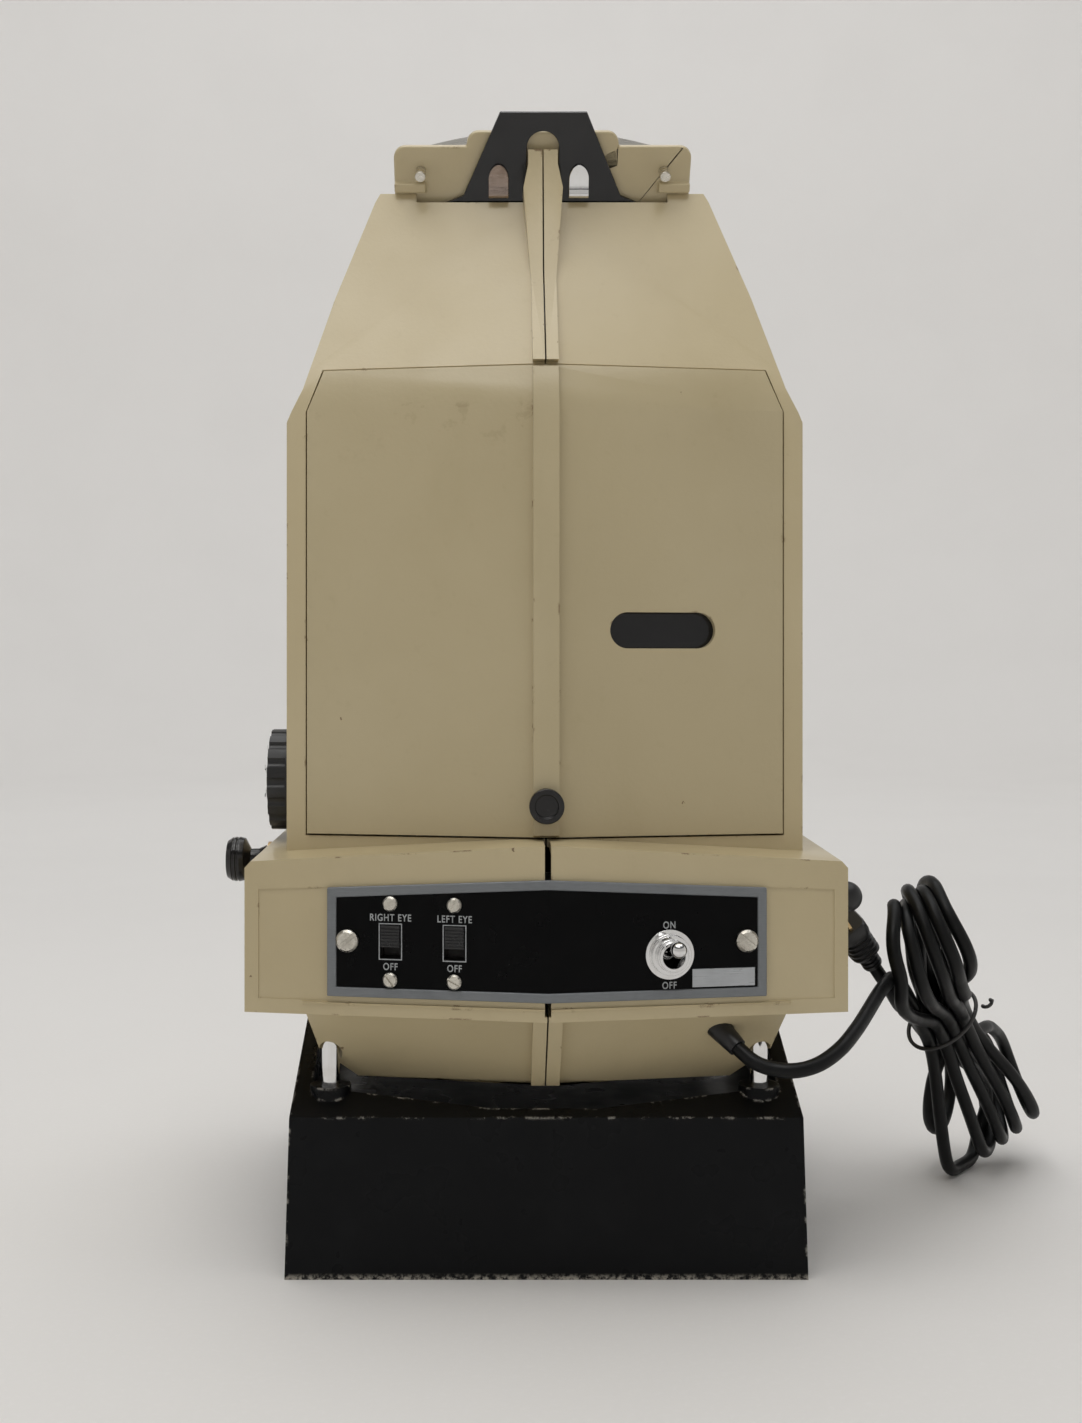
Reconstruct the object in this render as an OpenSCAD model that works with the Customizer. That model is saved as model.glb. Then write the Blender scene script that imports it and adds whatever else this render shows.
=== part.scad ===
// Stereoscopic vision screener: a two-part cast housing that rides up and down on
// four columns in a heavy cast foot. Origin: centre of the foot's underside.
// +Z is up, -Y faces the operator (door, control panel), +Y faces the patient.

/* [Foot] */
// Width of the foot at the table, and its depth
foot_w = 200; // [196:1:206]
// Width of the foot at its top edge
foot_top_w = 195; // [190:1:198]
// Height of the foot's front and back walls
foot_wall_z = 61.5; // [58:0.5:64]
// Height of the foot at the middle of its side rims
foot_peak_z = 90; // [84:1:92]
// Height of the sunken deck that carries the columns
deck_z = 58; // [54:1:60]

/* [Columns] */
// Diameter of each column
column_d = 7; // [6:0.5:8]
// Columns stand this far left and right of the middle
column_x = 84; // [83:0.5:85]
// Columns stand this far in front of and behind the middle
column_y = 82; // [81:0.5:83]
// Height of the column tops
column_top_z = 158; // [150:1:160]

/* [Housing] */
// Half width of the lower skirt
skirt_half = 115.4; // [114:0.2:118]
// Half width of the tower above the skirt
tower_half = 101.6; // [100:0.2:104]
// Front of the skirt at the seam, measured from the middle
skirt_front = 118; // [116:0.5:120]
// Front of the tower at the seam
tower_front = 97; // [96:0.5:98]
// Back of the tower
tower_back = 62; // [56:1:70]
// Angle by which each half's front falls back from the seam
prow = 9.5; // [9:0.5:10]
// Wall thickness of the two castings
wall = 4; // [3.5:0.25:4.5]
// Height of the upper edge of the skirt at the seam
crest_z = 167.5; // [166:0.5:168]
// Bottom and top of the vertical face of the skirt
skirt_z = 102; // [100:1:104]
// Height of the bottom of the chin
chin_z = 71; // [70:0.5:74]

/* [Head] */
// Tilt of the face plate from upright
head_tilt = 35; // [33:1:37]
// Height of the slot where the slant meets the face plate
head_z = 430; // [428:1:432]
// Distance of that slot in front of the middle
head_front = 46; // [44:1:48]
// Half the distance between the two eye axes
eye_half = 32; // [31:0.5:33]
// Distance of the eye axes below the slot, along the face plate
eye_drop = 33; // [32:1:35]

/* [Door] */
// Half width of the door
door_half = 94.5; // [92:0.5:95]
// Bottom edge, crease and top edge of the door
door_bottom_z = 168.5; // [168:0.5:172]
// Height of the crease in the door
crease_z = 334; // [330:1:336]
// Height of the door's top edge
door_top_z = 351; // [350:0.5:352]
// Gap round the door
door_gap = 0.8; // [0.6:0.1:1.2]
// Thickness of the door
door_t = 3; // [2.5:0.5:3]

/* [Slide drum] */
// Height of the drum's axis
drum_z = 187; // [186:0.5:188]
// Distance of the drum's axis in front of the middle
drum_front = 42; // [41:0.5:43]
// Distance from the drum's axis to its flat faces
drum_flat = 37; // [35:0.5:38]
// Half length of the drum
drum_half = 58; // [56:1:60]

/* [Cord] */
// Diameter of the mains cord
cord_d = 5.8; // [5.6:0.1:6]

/* [Hidden] */
$fn = 48;
gap = 0.3;
big = 400;
seam = 0.3;
eye_z = -eye_drop;
seam_screw_at = [[54, 200], [54, 262], [92, 130], [10, 335]];
hinge_y = 50;
hinge_z = 380;
bush_d = 11;
shaft_d = 8;
shaft_bush_d = 12;
dial_d = 41.6;
lock_front = 20;
lock_z = 151;
lock_reach = 19;
stop_front = 60;
stop_z = 140.5;
ear_top = 19.5;
band_z = 436;
band_top = 459.5;
mirror_tilt = 25.5;
stud_z = 9.5;
fin_slot = 13;
plate_t = 2;
plate_top = 34;
near_lens_d = 25;
panel_half = 84;
panel_bottom = 109.5;
panel_top = 150.5;
panel_peak = 155;
panel_mid_z = 130.7;
eye_switch_u = [59.5, 35];
slot_w = 7.9;
slot_h = 12.7;
slider_z = 2;
slider_h = 8.2;
toggle_u = 46;
toggle_z = 126.4;
toggle_pivot = 3;
toggle_throw = 12;
window_u = 46;
window_z = 248;
window_w = 42;
window_h = 14;
knob_z = 181;
panel_screw_u = 76;
bracket_back = 3.2;

// Where the cord leaves the chin, and the way it points there
gland_at = [67, -95.2, 94.5];
gland_pitch = -56;
gland_turn = 44;

// The cord from the gland, round the corner of the foot and up to its hank
cord_route = [
    [73.6, -102, 88.1], [80.5, -107.2, 85.6], [90, -110.5, 84.4], [100, -109, 85.3], [110, -102, 88.3],
    [119.5, -90.5, 93], [128.5, -77, 98], [136.5, -62, 102.3], [143.5, -48, 105.6], [149.5, -36, 108]
];
// From the plug along the hank's left side
tail_route = [
    [140, -33.5, 108.4], [143, -31.6, 104.2], [146.2, -29.4, 99.9], [149.5, -26.8, 95.6], [153.5, -23.3, 90.4]
];
plug_at = [136, -36, 114];
plug_pitch = 20;
plug_lean = -36;
hank_at = [181, 6, 75];
hank_t = 28;
hank_lean = 35;
hank_side = -26;
hank_top = 62;
hank_top_d = 32;
hank_bottom = -60;
hank_bottom_d = 54;

column_sides = [[-1, -1], [1, -1], [-1, 1], [1, 1]];

// ---- shared geometry -------------------------------------------------------

function unit(v) = v / norm(v);
function left_of(v) = [-v[1], v[0]];

// A counter-clockwise outline moved inwards by t at every side
function inset(p, t) = [
    for (i = [0 : len(p) - 1])
        let (a = p[(i + len(p) - 1) % len(p)], b = p[i], c = p[(i + 1) % len(p)],
             n1 = left_of(unit(b - a)), n2 = left_of(unit(c - b)))
        b + (n1 + n2) * t / (1 + n1 * n2)
];

function mirrored(p) = concat(p, [for (i = [len(p) - 1 : -1 : 0]) [-p[i][0], p[i][1]]]);

// Extrudes an outline drawn in X and Z along Y, centred
module along_y(length) translate([0, length / 2, 0]) rotate([90, 0, 0]) linear_extrude(length) children();

// Extrudes an outline drawn in Y and Z along X, centred
module along_x(length) translate([-length / 2, 0, 0]) rotate([90, 0, 90]) linear_extrude(length) children();

// Turns one half's front back from the seam, about the seam line at the given front
module turned(side, front) translate([0, -front, 0]) rotate([0, 0, side * prow]) translate([0, front, 0])
    children();

// Frame lying on the turned face: x outwards from the seam, y into the housing
module on_face(side, front, u, z) translate([0, -front, 0]) rotate([0, 0, side * prow])
    translate([side * u, 0, z]) children();

// Frame of the face plate: z up the plate, y towards the patient
module on_head() translate([0, -head_front, head_z]) rotate([head_tilt, 0, 0]) children();

// Cylinder along X from x = 0 in the direction of +X
module x_cylinder(length, d) rotate([0, 90, 0]) cylinder(h = length, d = d);

// Cylinder along -Y, from y = 0 towards the operator
module out_cylinder(length, d) rotate([90, 0, 0]) cylinder(h = length, d = d);

module slotted_head(d, length, angle)
    difference() {
        union() {
            out_cylinder(length * 0.6, d);
            translate([0, -length * 0.6, 0]) rotate([90, 0, 0]) cylinder(h = length * 0.4, d1 = d, d2 = d * 0.8);
            rotate([-90, 0, 0]) cylinder(h = 2, d = d * 0.45);
        }
        translate([0, -length, 0]) rotate([0, angle, 0]) cube([d * 2, length * 0.9, d * 0.16], center = true);
    }

// ---- foot ------------------------------------------------------------------

foot_half = foot_w / 2;
foot_edge = foot_top_w / 2;
rim = 6;

foot_side = [
    [-foot_half, 0], [foot_half, 0], [foot_half - 1.5, foot_wall_z], [35, foot_peak_z],
    [-35, foot_peak_z], [-foot_half + 1.5, foot_wall_z]
];
foot_outline = [[-foot_half, 0], [foot_half, 0], [foot_edge, foot_peak_z + 5], [-foot_edge, foot_peak_z + 5]];

module foot_block(t) intersection() {
    along_x(big) polygon(inset(foot_side, t));
    along_y(big) polygon(inset(foot_outline, t));
}

tray_half = 91.5;
tray_front = 97;
socket_d = 16;
socket_top = 70.3;
plate_in = 4;
foot_screw_at = 60;

module foot_casting() color("#101113") difference() {
    union() {
        difference() {
            foot_block(0);
            // sunken tray that the chin sits in
            for (side = [-1, 1]) intersection() {
                turned(side, tray_front) translate([-big / 2, -tray_front, deck_z])
                    cube([big, 2 * tray_front - rim, 100]);
                translate([side > 0 ? 0 : -tray_half, -tray_half - 2, deck_z])
                    cube([tray_half, 2 * tray_half + 4, 100]);
            }
        }
        // sockets that the columns stand in
        for (s = column_sides) translate([s[0] * column_x, s[1] * column_y, deck_z - 1])
            cylinder(h = socket_top - deck_z + 1, d = socket_d);
    }
    // hollow underside
    difference() {
        translate([-foot_half + rim, -foot_half + rim, -1])
            cube([foot_w - 2 * rim, foot_w - 2 * rim, deck_z - rim + 1]);
        for (s = column_sides) translate([s[0] * column_x, s[1] * column_y, -2]) cylinder(h = 100, d = 18);
        for (s = column_sides) translate([s[0] * foot_screw_at, s[1] * foot_screw_at, -2])
            cylinder(h = 100, d = 10);
    }
    // seat for the bottom plate
    translate([-foot_half + plate_in, -foot_half + plate_in, -1])
        cube([foot_w - 2 * plate_in, foot_w - 2 * plate_in, 6]);
    for (s = column_sides) {
        translate([s[0] * column_x, s[1] * column_y, 12]) cylinder(h = 100, d = column_d);
        translate([s[0] * foot_screw_at, s[1] * foot_screw_at, 4]) cylinder(h = 14, d = 4);
    }
}

// Square sheet that fits the seat with a gap all round
module seat_sheet(z, thickness) translate([-foot_half + plate_in + gap, -foot_half + plate_in + gap, z])
    cube([foot_w - 2 * (plate_in + gap), foot_w - 2 * (plate_in + gap), thickness]);

module foot_bottom_plate() color("#2a2a2a") difference() {
    seat_sheet(2.5, 2.5);
    for (s = column_sides) translate([s[0] * foot_screw_at, s[1] * foot_screw_at, 0]) cylinder(h = 20, d = 4.6);
}

module foot_pad() color("#b9ad97") difference() {
    seat_sheet(0, 2.5);
    for (s = column_sides) translate([s[0] * foot_screw_at, s[1] * foot_screw_at, -1]) cylinder(h = 20, d = 9);
}

module foot_screws() color("silver") for (s = column_sides)
    translate([s[0] * foot_screw_at, s[1] * foot_screw_at, 0.6]) {
    cylinder(h = 1.9, d = 8);
    cylinder(h = 15, d = 3.9);
}

module column(s) color("#d5d7da") translate([s[0] * column_x, s[1] * column_y, 12]) {
    cylinder(h = column_top_z - 13, d = column_d);
    translate([0, 0, column_top_z - 13]) cylinder(h = 1, d1 = column_d, d2 = column_d - 2);
}

// ---- housing ---------------------------------------------------------------

tower_outline = mirrored([
    [tower_half, 150], [tower_half, 330], [95.5, 344], [84, 383], [69, 426], [64, head_z + 6]
]);
tower_side = [
    [-tower_front, 150], [200, 150], [200, 500], [-head_front, 500], [-head_front, head_z],
    [-tower_front + 7, door_top_z + 0.6], [-tower_front, crease_z]
];
// straight line down the patient's side, parallel to the face plate
rear_run = (tower_back + head_front) / tan(head_tilt);
tower_rear = [
    [-300, 150], [tower_back, 150], [tower_back, head_z - rear_run], [-head_front, head_z],
    [-head_front - 40, head_z + 57], [-300, head_z + 57]
];
skirt_outline = mirrored([
    [skirt_half, skirt_z], [skirt_half, 157], [tower_half + 1, 171], [tower_half + 1, 180]
]);
skirt_side = [[-skirt_front, skirt_z], [200, skirt_z], [200, 180], [-skirt_front, 180]];
skirt_back = 100;
chin_outline = mirrored([[74, chin_z], [88.5, 84], [93, skirt_z + 5]]);
chin_side = [[-85, chin_z], [200, chin_z], [200, skirt_z + 5], [-119, skirt_z + 5]];
chin_rear = [[-200, chin_z], [80, chin_z], [98, skirt_z + 5], [-200, skirt_z + 5]];
skirt_rear = [[-200, skirt_z], [skirt_back, skirt_z], [skirt_back, 157], [tower_back, 172], [-200, 172]];

module half_space(side) translate([side > 0 ? seam : -big - seam, -big / 2, -10]) cube([big, big, 600]);

module tower_block(side, t) intersection() {
    along_y(big) polygon(inset(tower_outline, t));
    turned(side, tower_front) along_x(big) polygon(inset(tower_side, t));
    along_x(big) polygon(inset(tower_rear, t));
}

// The shoulder falls 4.5 degrees outwards from the seam and rises a little backwards
module below_shoulder(side, t) translate([0, -skirt_front, crest_z - t]) rotate([3, side * 4.5, 0])
    translate([-big / 2, -60, -big]) cube([big, big, big]);

// The slant runs out square along the foot of the face plate
module brow() intersection() {
    along_y(big) polygon(tower_outline);
    along_x(big) polygon([
        [-tower_front + 7 + door_half * tan(prow), door_top_z + 0.6], [200, door_top_z + 0.6], [200, 500],
        [-head_front, 500], [-head_front, head_z]
    ]);
    along_x(big) polygon(tower_rear);
}

module skirt_block(side, t) intersection() {
    along_y(big) polygon(inset(skirt_outline, t));
    turned(side, skirt_front) along_x(big) polygon(inset(skirt_side, t));
    along_x(big) polygon(inset(skirt_rear, t));
    below_shoulder(side, t);
}

module chin_block(side, t) intersection() {
    along_y(big) polygon(inset(chin_outline, t));
    turned(side, skirt_front) along_x(big) polygon(inset(chin_side, t));
    along_x(big) polygon(inset(chin_rear, t));
}

// Ridge along the seam: up the slant, then a fin that stands nearly upright to the head
fin_z = 394;
ridge_foot = door_top_z + 1.5;
ridge_side = [
    [-tower_front + 3, ridge_foot], [-tower_front + 24, ridge_foot], [-head_front + 6, head_z - 10],
    [-head_front - 8, head_z + 15], [-head_front - 14, head_z + 14], [-head_front - 21, fin_z]
];

module ridge() {
    along_x(10) polygon(ridge_side);
    // the fin spreads towards its root
    intersection() {
        along_x(16) polygon(ridge_side);
        along_y(big) polygon([[-5, fin_z - 5], [5, fin_z - 5], [8, head_z - 2], [6, head_z + 8], [6, head_z + 16],
                              [-6, head_z + 16], [-6, head_z + 8], [-8, head_z - 2]]);
    }
}

module chin_ribs() intersection() {
    translate([0, -3, 0]) along_x(11) polygon([[-85, chin_z], [-75, chin_z], [-105, skirt_z + 5], [-119, skirt_z + 5]]);
    translate([-20, -big / 2, chin_z]) cube([40, big, skirt_z - chin_z]);
}

module door_opening(gap_size) for (side = [-1, 1]) turned(side, tower_front) difference() {
    intersection() {
        along_y(big) polygon(mirrored([
            [door_half + gap_size, door_bottom_z - gap_size], [door_half + gap_size, crease_z],
            [door_half - 5 + gap_size, door_top_z + gap_size]
        ]));
        translate([-big / 2, -tower_front - 20, 100]) cube([big, 40, 300]);
        translate([side > 0 ? -15 : -big + 15, -big / 2, 0]) cube([big, big, 500]);
    }
    // the top edge slopes down inwards so that the door swings clear
    translate([-big / 2, -tower_front + 7, door_top_z + gap_size]) rotate([-54.5, 0, 0])
        translate([0, -20, 0]) cube([big, 80, 60]);
}

module column_holes(d, z0, z1) for (s = column_sides)
    translate([s[0] * column_x, s[1] * column_y, z0]) cylinder(h = z1 - z0, d = d);

// Lugs that meet at the seam and take the seam screws
lug_x = 7;
module seam_lug(side, at) intersection() {
    translate([side * (seam + lug_x) / 2, at[0], at[1]]) cube([lug_x - seam, 15, 12], center = true);
    union() {
        tower_block(side, 1);
        skirt_block(side, 1);
    }
}

// Shallow field in the front beside the panel
field_half = 111.5;
field_depth = 0.4;
module field(side) on_face(side, skirt_front, 0, 0) translate([0, field_depth, 0]) rotate([90, 0, 0])
    linear_extrude(5) polygon([
        [side * panel_half, panel_bottom - 2], [side * field_half, panel_bottom - 2],
        [side * field_half, panel_top - 1.5], [side * panel_half, panel_top]
    ]);

module housing_half(side) color("#c2b189") difference() {
    union() {
        difference() {
            intersection() {
                union() {
                    tower_block(side, 0);
                    skirt_block(side, 0);
                    chin_block(side, 0);
                    brow();
                    ridge();
                    chin_ribs();
                }
                half_space(side);
            }
            tower_block(side, wall);
            skirt_block(side, wall);
            chin_block(side, wall);
            // the three hollows run into one another
            translate([-91, -78, 140]) cube([182, 130, 40]);
            translate([-84, -70, 90]) cube([168, 140, 30]);
            translate([-66, -66, chin_z - 1]) cube([132, 130, 10]);
        }
        // bosses round the columns, bushed at top and bottom
        intersection() {
            for (y = [-column_y, column_y]) translate([side * column_x, y, 92]) cylinder(h = 68, d = 15);
            skirt_block(side, 0.5);
        }
        for (at = seam_screw_at) seam_lug(side, at);
        // post that carries the mirror bracket
        intersection() {
            on_mirror() translate([side * 30, -bracket_back, -2]) out_cylinder(25, 8);
            tower_block(side, 1);
        }
        // boss for the door's hinge pin
        translate([side * 70, -hinge_y, hinge_z]) rotate([0, side * 90, 0]) cylinder(h = 13, d = 9);
    }
    for (at = seam_screw_at) translate([-10, at[0], at[1]]) x_cylinder(20, 4.3);
    column_holes(column_d + 2, 50, 160);
    column_holes(bush_d, 106, 152);
    door_opening(door_gap);
    // viewing opening behind the face plate, and the slot for the near lens plate
    on_head() translate([-52, -14, -60]) cube([104, 30, 46]);
    on_head() translate([-52, -3.4, -15]) cube([104, 20, 65]);
    field(side);
    // seam opens wider above and below the panel
    translate([-1.2 + (side > 0 ? 1.2 : 0), -skirt_front - 8, 104]) cube([1.2, 30, 70]);
    // dial shaft, lock plunger, gland, hinge pins
    translate([-tower_half - 5, -drum_front, drum_z]) x_cylinder(20, shaft_bush_d);
    translate([-skirt_half - 5, -lock_front, lock_z]) x_cylinder(20, 12);
    on_gland() translate([0, 0, -15]) cylinder(h = 30, d = gland_d + 0.4);
    on_gland() translate([0, 0, flange_at - gap]) cylinder(h = 16, d = flange_d + 2 * gap);
    translate([side * 60, -hinge_y, hinge_z]) rotate([0, side * 90, 0]) cylinder(h = 21, d = 4);
    // openings behind the panel for switches and the toggle
    for (u = eye_switch_u) on_face(-1, skirt_front, u, panel_mid_z) translate([-7.2, -3, -17]) cube([14.4, 14, 34]);
    on_face(1, skirt_front, toggle_u, toggle_z) translate([0, 20, 0]) out_cylinder(30, 12.4);
    for (side2 = [-1, 1]) on_face(side2, skirt_front, panel_screw_u, panel_mid_z) translate([0, 10, 0])
        out_cylinder(20, 4);
    // accessory button
    translate([skirt_half - 6, -stop_front, stop_z]) x_cylinder(10, 5);
}

module housing_screws() color("silver") for (at = seam_screw_at) translate([-lug_x, at[0], at[1]]) {
    x_cylinder(2 * lug_x, 3.9);
    translate([-2.6, 0, 0]) x_cylinder(2.6, 7);
    translate([2 * lug_x, 0, 0]) x_cylinder(2.6, 7);
}

// Bushes press into the bosses and run on the columns
module column_bushes() color("#b98d4a") for (s = column_sides)
    translate([s[0] * column_x, s[1] * column_y, 106]) difference() {
        cylinder(h = 46, d = bush_d);
        translate([0, 0, -1]) cylinder(h = 48, d = column_d + 0.1);
    }

module chin_cover() color("#6b6250") translate([-70, -66, chin_z + wall]) difference() {
    cube([140, 134, 1.5]);
    translate([30, 60, -1]) cylinder(h = 4, d = 8);
}

// Plate under the drum, with a tab to each side wall
chassis_z = 141;
chassis_t = 1.5;
module chassis_plate() color("#b9bcc0") translate([0, 0, chassis_z]) {
    translate([-74, -74, 0]) cube([148, 122, chassis_t]);
    translate([-skirt_half + wall, -42, 0]) cube([2 * (skirt_half - wall), 50, chassis_t]);
}

// ---- control panel ---------------------------------------------------------

// Peaked outline of the panel on one side, measured along the turned face
function panel_points(side, t) = [
    [-side, panel_bottom + t], [side * (panel_half - t), panel_bottom + t],
    [side * (panel_half - t), panel_top - t], [0, panel_peak - t], [-side, panel_peak - t]
];

module panel_plate(t, y0, thickness) for (side = [-1, 1]) intersection() {
    on_face(side, skirt_front, 0, 0) translate([0, y0, 0]) rotate([90, 0, 0])
        linear_extrude(thickness) polygon(panel_points(side, t));
    translate([side > 0 ? 0 : -big, -big / 2, 0]) cube([big, big, 300]);
}

module panel_cutouts() {
    for (u = eye_switch_u) on_face(-1, skirt_front, u, panel_mid_z)
        translate([-slot_w / 2, -10, -slot_h / 2]) cube([slot_w, 14, slot_h]);
    for (u = eye_switch_u, z = [-14.3, 14.3]) on_face(-1, skirt_front, u, panel_mid_z + z)
        translate([0, 5, 0]) out_cylinder(12, 2.6);
    on_face(1, skirt_front, toggle_u, toggle_z) translate([0, 5, 0]) out_cylinder(12, 12.2);
    for (side = [-1, 1]) on_face(side, skirt_front, panel_screw_u, panel_mid_z) translate([0, 5, 0])
        out_cylinder(12, 4.2);
}

module panel_frame() color("#8f9496") difference() {
    panel_plate(0, 0, 2);
    panel_plate(3.6, 1, 4);
}

module panel_face() color("#121214") difference() {
    panel_plate(3.7, 0, 1.5);
    panel_cutouts();
}

module panel_screws() color("silver") for (side = [-1, 1])
    on_face(side, skirt_front, panel_screw_u, panel_mid_z) {
        translate([0, -1.5, 0]) slotted_head(8.6, 2.6, side * 40);
        translate([0, 12, 0]) out_cylinder(13.5, 3.9);
    }

module switch_screws() color("silver") for (u = eye_switch_u, z = [-14.3, 14.3])
    on_face(-1, skirt_front, u, panel_mid_z + z) {
        translate([0, -1.5, 0]) slotted_head(5.6, 1.8, 35 + u + z * 3);
        translate([0, 2.4, 0]) out_cylinder(3.9, 2.5);
    }

module serial_plate() color("#a8abad") on_face(1, skirt_front, 67, 117.2)
    translate([-12.2, -2, -3.4]) cube([24.4, 0.5, 6.8]);

module eye_switch(u) color("#3a3a3c") on_face(-1, skirt_front, u, panel_mid_z) difference() {
    union() {
        translate([-6.8, 0, -16.6]) cube([13.6, 1.2, 33.2]);
        translate([-6.5, 1.2, -11]) cube([13, 12, 22]);
        for (z = [-6, 0, 6]) translate([-1.5, 13, z - 0.4]) cube([3, 5, 0.8]);
    }
    translate([-slot_w / 2, -1, -slot_h / 2]) cube([slot_w, 7, slot_h]);
    for (z = [-14.3, 14.3]) translate([0, 5, z]) out_cylinder(12, 2.5);
}

module eye_slider(u) color("#0c0c0d") on_face(-1, skirt_front, u, panel_mid_z) {
    translate([-slot_w / 2 + gap, -2, slider_z - slider_h / 2]) cube([slot_w - 2 * gap, 7.5, slider_h]);
    for (i = [-3 : 3]) translate([-slot_w / 2 + gap, -2.6, slider_z + i * 1.2 - 0.3])
        cube([slot_w - 2 * gap, 0.7, 0.6]);
}

module toggle_switch() color("#3a3a3c") on_face(1, skirt_front, toggle_u, toggle_z) {
    translate([-8.5, 12.5, -13]) cube([17, 16, 26]);
    for (z = [-8, 8]) translate([-2, 28, z - 0.5]) cube([4, 6, 1]);
}

module toggle_bushing() color("#c9ccd0") on_face(1, skirt_front, toggle_u, toggle_z) difference() {
    union() {
        translate([0, -1.5, 0]) out_cylinder(1, 18.7);
        translate([0, -2.5, 0]) out_cylinder(2.6, 15);
        translate([0, 12.5, 0]) out_cylinder(20, 11.9);
        translate([0, -7.4, 0]) out_cylinder(0.8, 11);
    }
    translate([0, 12.6, 0]) rotate([90, 0, 0]) cylinder(h = 30, d = 8.6);
}

module toggle_lever() color("#d9dbde") on_face(1, skirt_front, toggle_u, toggle_z)
    translate([0, toggle_pivot, 0]) rotate([-toggle_throw, 0, 0]) {
        sphere(d = 6.5);
        translate([-3.8, 0, 0]) x_cylinder(7.6, 2);
        out_cylinder(18, 3.6);
        translate([0, -17.5, 0]) sphere(d = 6);
    }

module terminal_block() color("#d8d2c0") difference() {
    translate([30, 20, chassis_z - 18.5]) cube([34, 12, 18.5]);
    for (i = [0 : 3]) translate([33 + i * 8.2, 15, chassis_z - 20]) cube([5, 9, 10]);
}

// ---- head ------------------------------------------------------------------

module rounded_plate(w, z0, z1, r, t) translate([0, t, 0]) rotate([90, 0, 0]) linear_extrude(t) union() {
    translate([-w / 2, z0]) square([w, z1 - z0 - r]);
    translate([-w / 2 + r, z0]) square([w - 2 * r, z1 - z0]);
    for (x = [-1, 1]) translate([x * (w / 2 - r), z1 - r]) circle(r);
}

module face_plate() color("#bfae85") on_head() difference() {
    union() {
        translate([0, 0.3, 0]) rounded_plate(122, -64, ear_top, 5, 3);
        translate([0, 0.3, 0]) rounded_plate(62, 0, ear_top + 6, 5, 3);
        // shelf along the foot of the ears
        for (x = [-1, 1]) translate([x * 54.5 - 6.5, -2.4, 1]) cube([13, 3, 4]);
    }
    for (x = [-eye_half, eye_half]) translate([x, 10, eye_z]) out_cylinder(20, 36);
}

module accessory_studs() color("#9a9a9c") on_head() for (x = [-50, 50])
    translate([x, 0.3, stud_z]) { out_cylinder(8, 4.3); }

// Upright band bowed to fit a forehead, its middle nearest the operator
band_r = 100;
band_front = 36;
module forehead_band() color("#b9b6ae") {
    intersection() {
        translate([0, band_r - band_front, band_z]) difference() {
            cylinder(h = 30, r = band_r, $fn = 160);
            translate([0, 0, -1]) cylinder(h = 32, r = band_r - 2, $fn = 160);
        }
        translate([-56, -band_front - 5, band_z - 1]) cube([112, 40, 40]);
        translate([0, 50, band_top - 500]) rotate([90, 0, 0]) cylinder(h = 120, r = 500, $fn = 160);
    }
    for (x = [-22, 22]) translate([x - 4, -46, band_z + 2]) cube([8, 14, 2]);
}

module eyepiece(side) color("#17171a") on_head() translate([side * eye_half, 0.3, eye_z]) difference() {
    union() {
        rotate([-90, 0, 0]) cylinder(h = 20, d = 35.9);
        translate([0, 3, 0]) rotate([-90, 0, 0]) cylinder(h = 3, d = 42);
        translate([0, 14, 0]) rotate([-90, 0, 0]) rotate_extrude() translate([18, 3]) circle(d = 6);
    }
    translate([0, -1, 0]) rotate([-90, 0, 0]) cylinder(h = 8, d = 32);
    translate([0, 3, 0]) rotate([-90, 0, 0]) cylinder(h = 6.2, d = 34);
    translate([0, 9, 0]) rotate([-90, 0, 0]) cylinder(h = 12, d1 = 30, d2 = 33);
}

module eye_lens(side) color("#cfe3ea") on_head() translate([side * eye_half, 0.3, eye_z])
    intersection() {
        translate([0, 3, 0]) rotate([-90, 0, 0]) cylinder(h = 6, d = 33.8);
        translate([0, 9 - 62, 0]) sphere(r = 62, $fn = 96);
        translate([0, 3 + 62, 0]) sphere(r = 62, $fn = 96);
    }

// Black plate that straddles the fin; its lower legs carry the near-point lenses
module near_lens_plate() color("#0d0d0f") on_head() difference() {
    translate([0, -0.5, 0]) rotate([90, 0, 0]) linear_extrude(plate_t) polygon([
        [-46.5, -52], [46.5, -52], [46.5, -6], [32.5, 0], [17.5, plate_top], [-17.5, plate_top], [-32.5, 0], [-46.5, -6]
    ]);
    translate([-fin_slot / 2, -10, -60]) cube([fin_slot, 20, 60 + 20]);
    translate([0, 5, 20]) out_cylinder(20, fin_slot);
    for (x = [-eye_half, eye_half]) translate([x, 5, eye_z]) out_cylinder(12, near_lens_d);
}

module near_lenses() color("#cfe3ea") on_head() for (x = [-eye_half, eye_half])
    translate([x, -0.7, eye_z]) out_cylinder(plate_t - 0.4, near_lens_d - 0.1);

module plate_spring(x) on_head() translate([x - 4.1, 0, 0]) {
    translate([0, -plate_t - 1.7, 4]) cube([8.2, 0.9, 5]);
    translate([4.1, -plate_t - 0.8, 9]) out_cylinder(0.9, 8.2);
    translate([0, -plate_t - 2.6, 0.6]) cube([8.2, 1.8, 3.6]);
}

// ---- optics ----------------------------------------------------------------

module on_mirror() translate([0, -53, 382]) rotate([-mirror_tilt, 0, 0]) children();

module mirror() color("#dfe6ea") on_mirror() translate([-46, -2, -15]) cube([92, 2, 30]);

module mirror_bracket() color("#8c8f92") on_mirror()
    translate([-48, -bracket_back, -13]) cube([96, bracket_back - 2, 22]);

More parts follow.
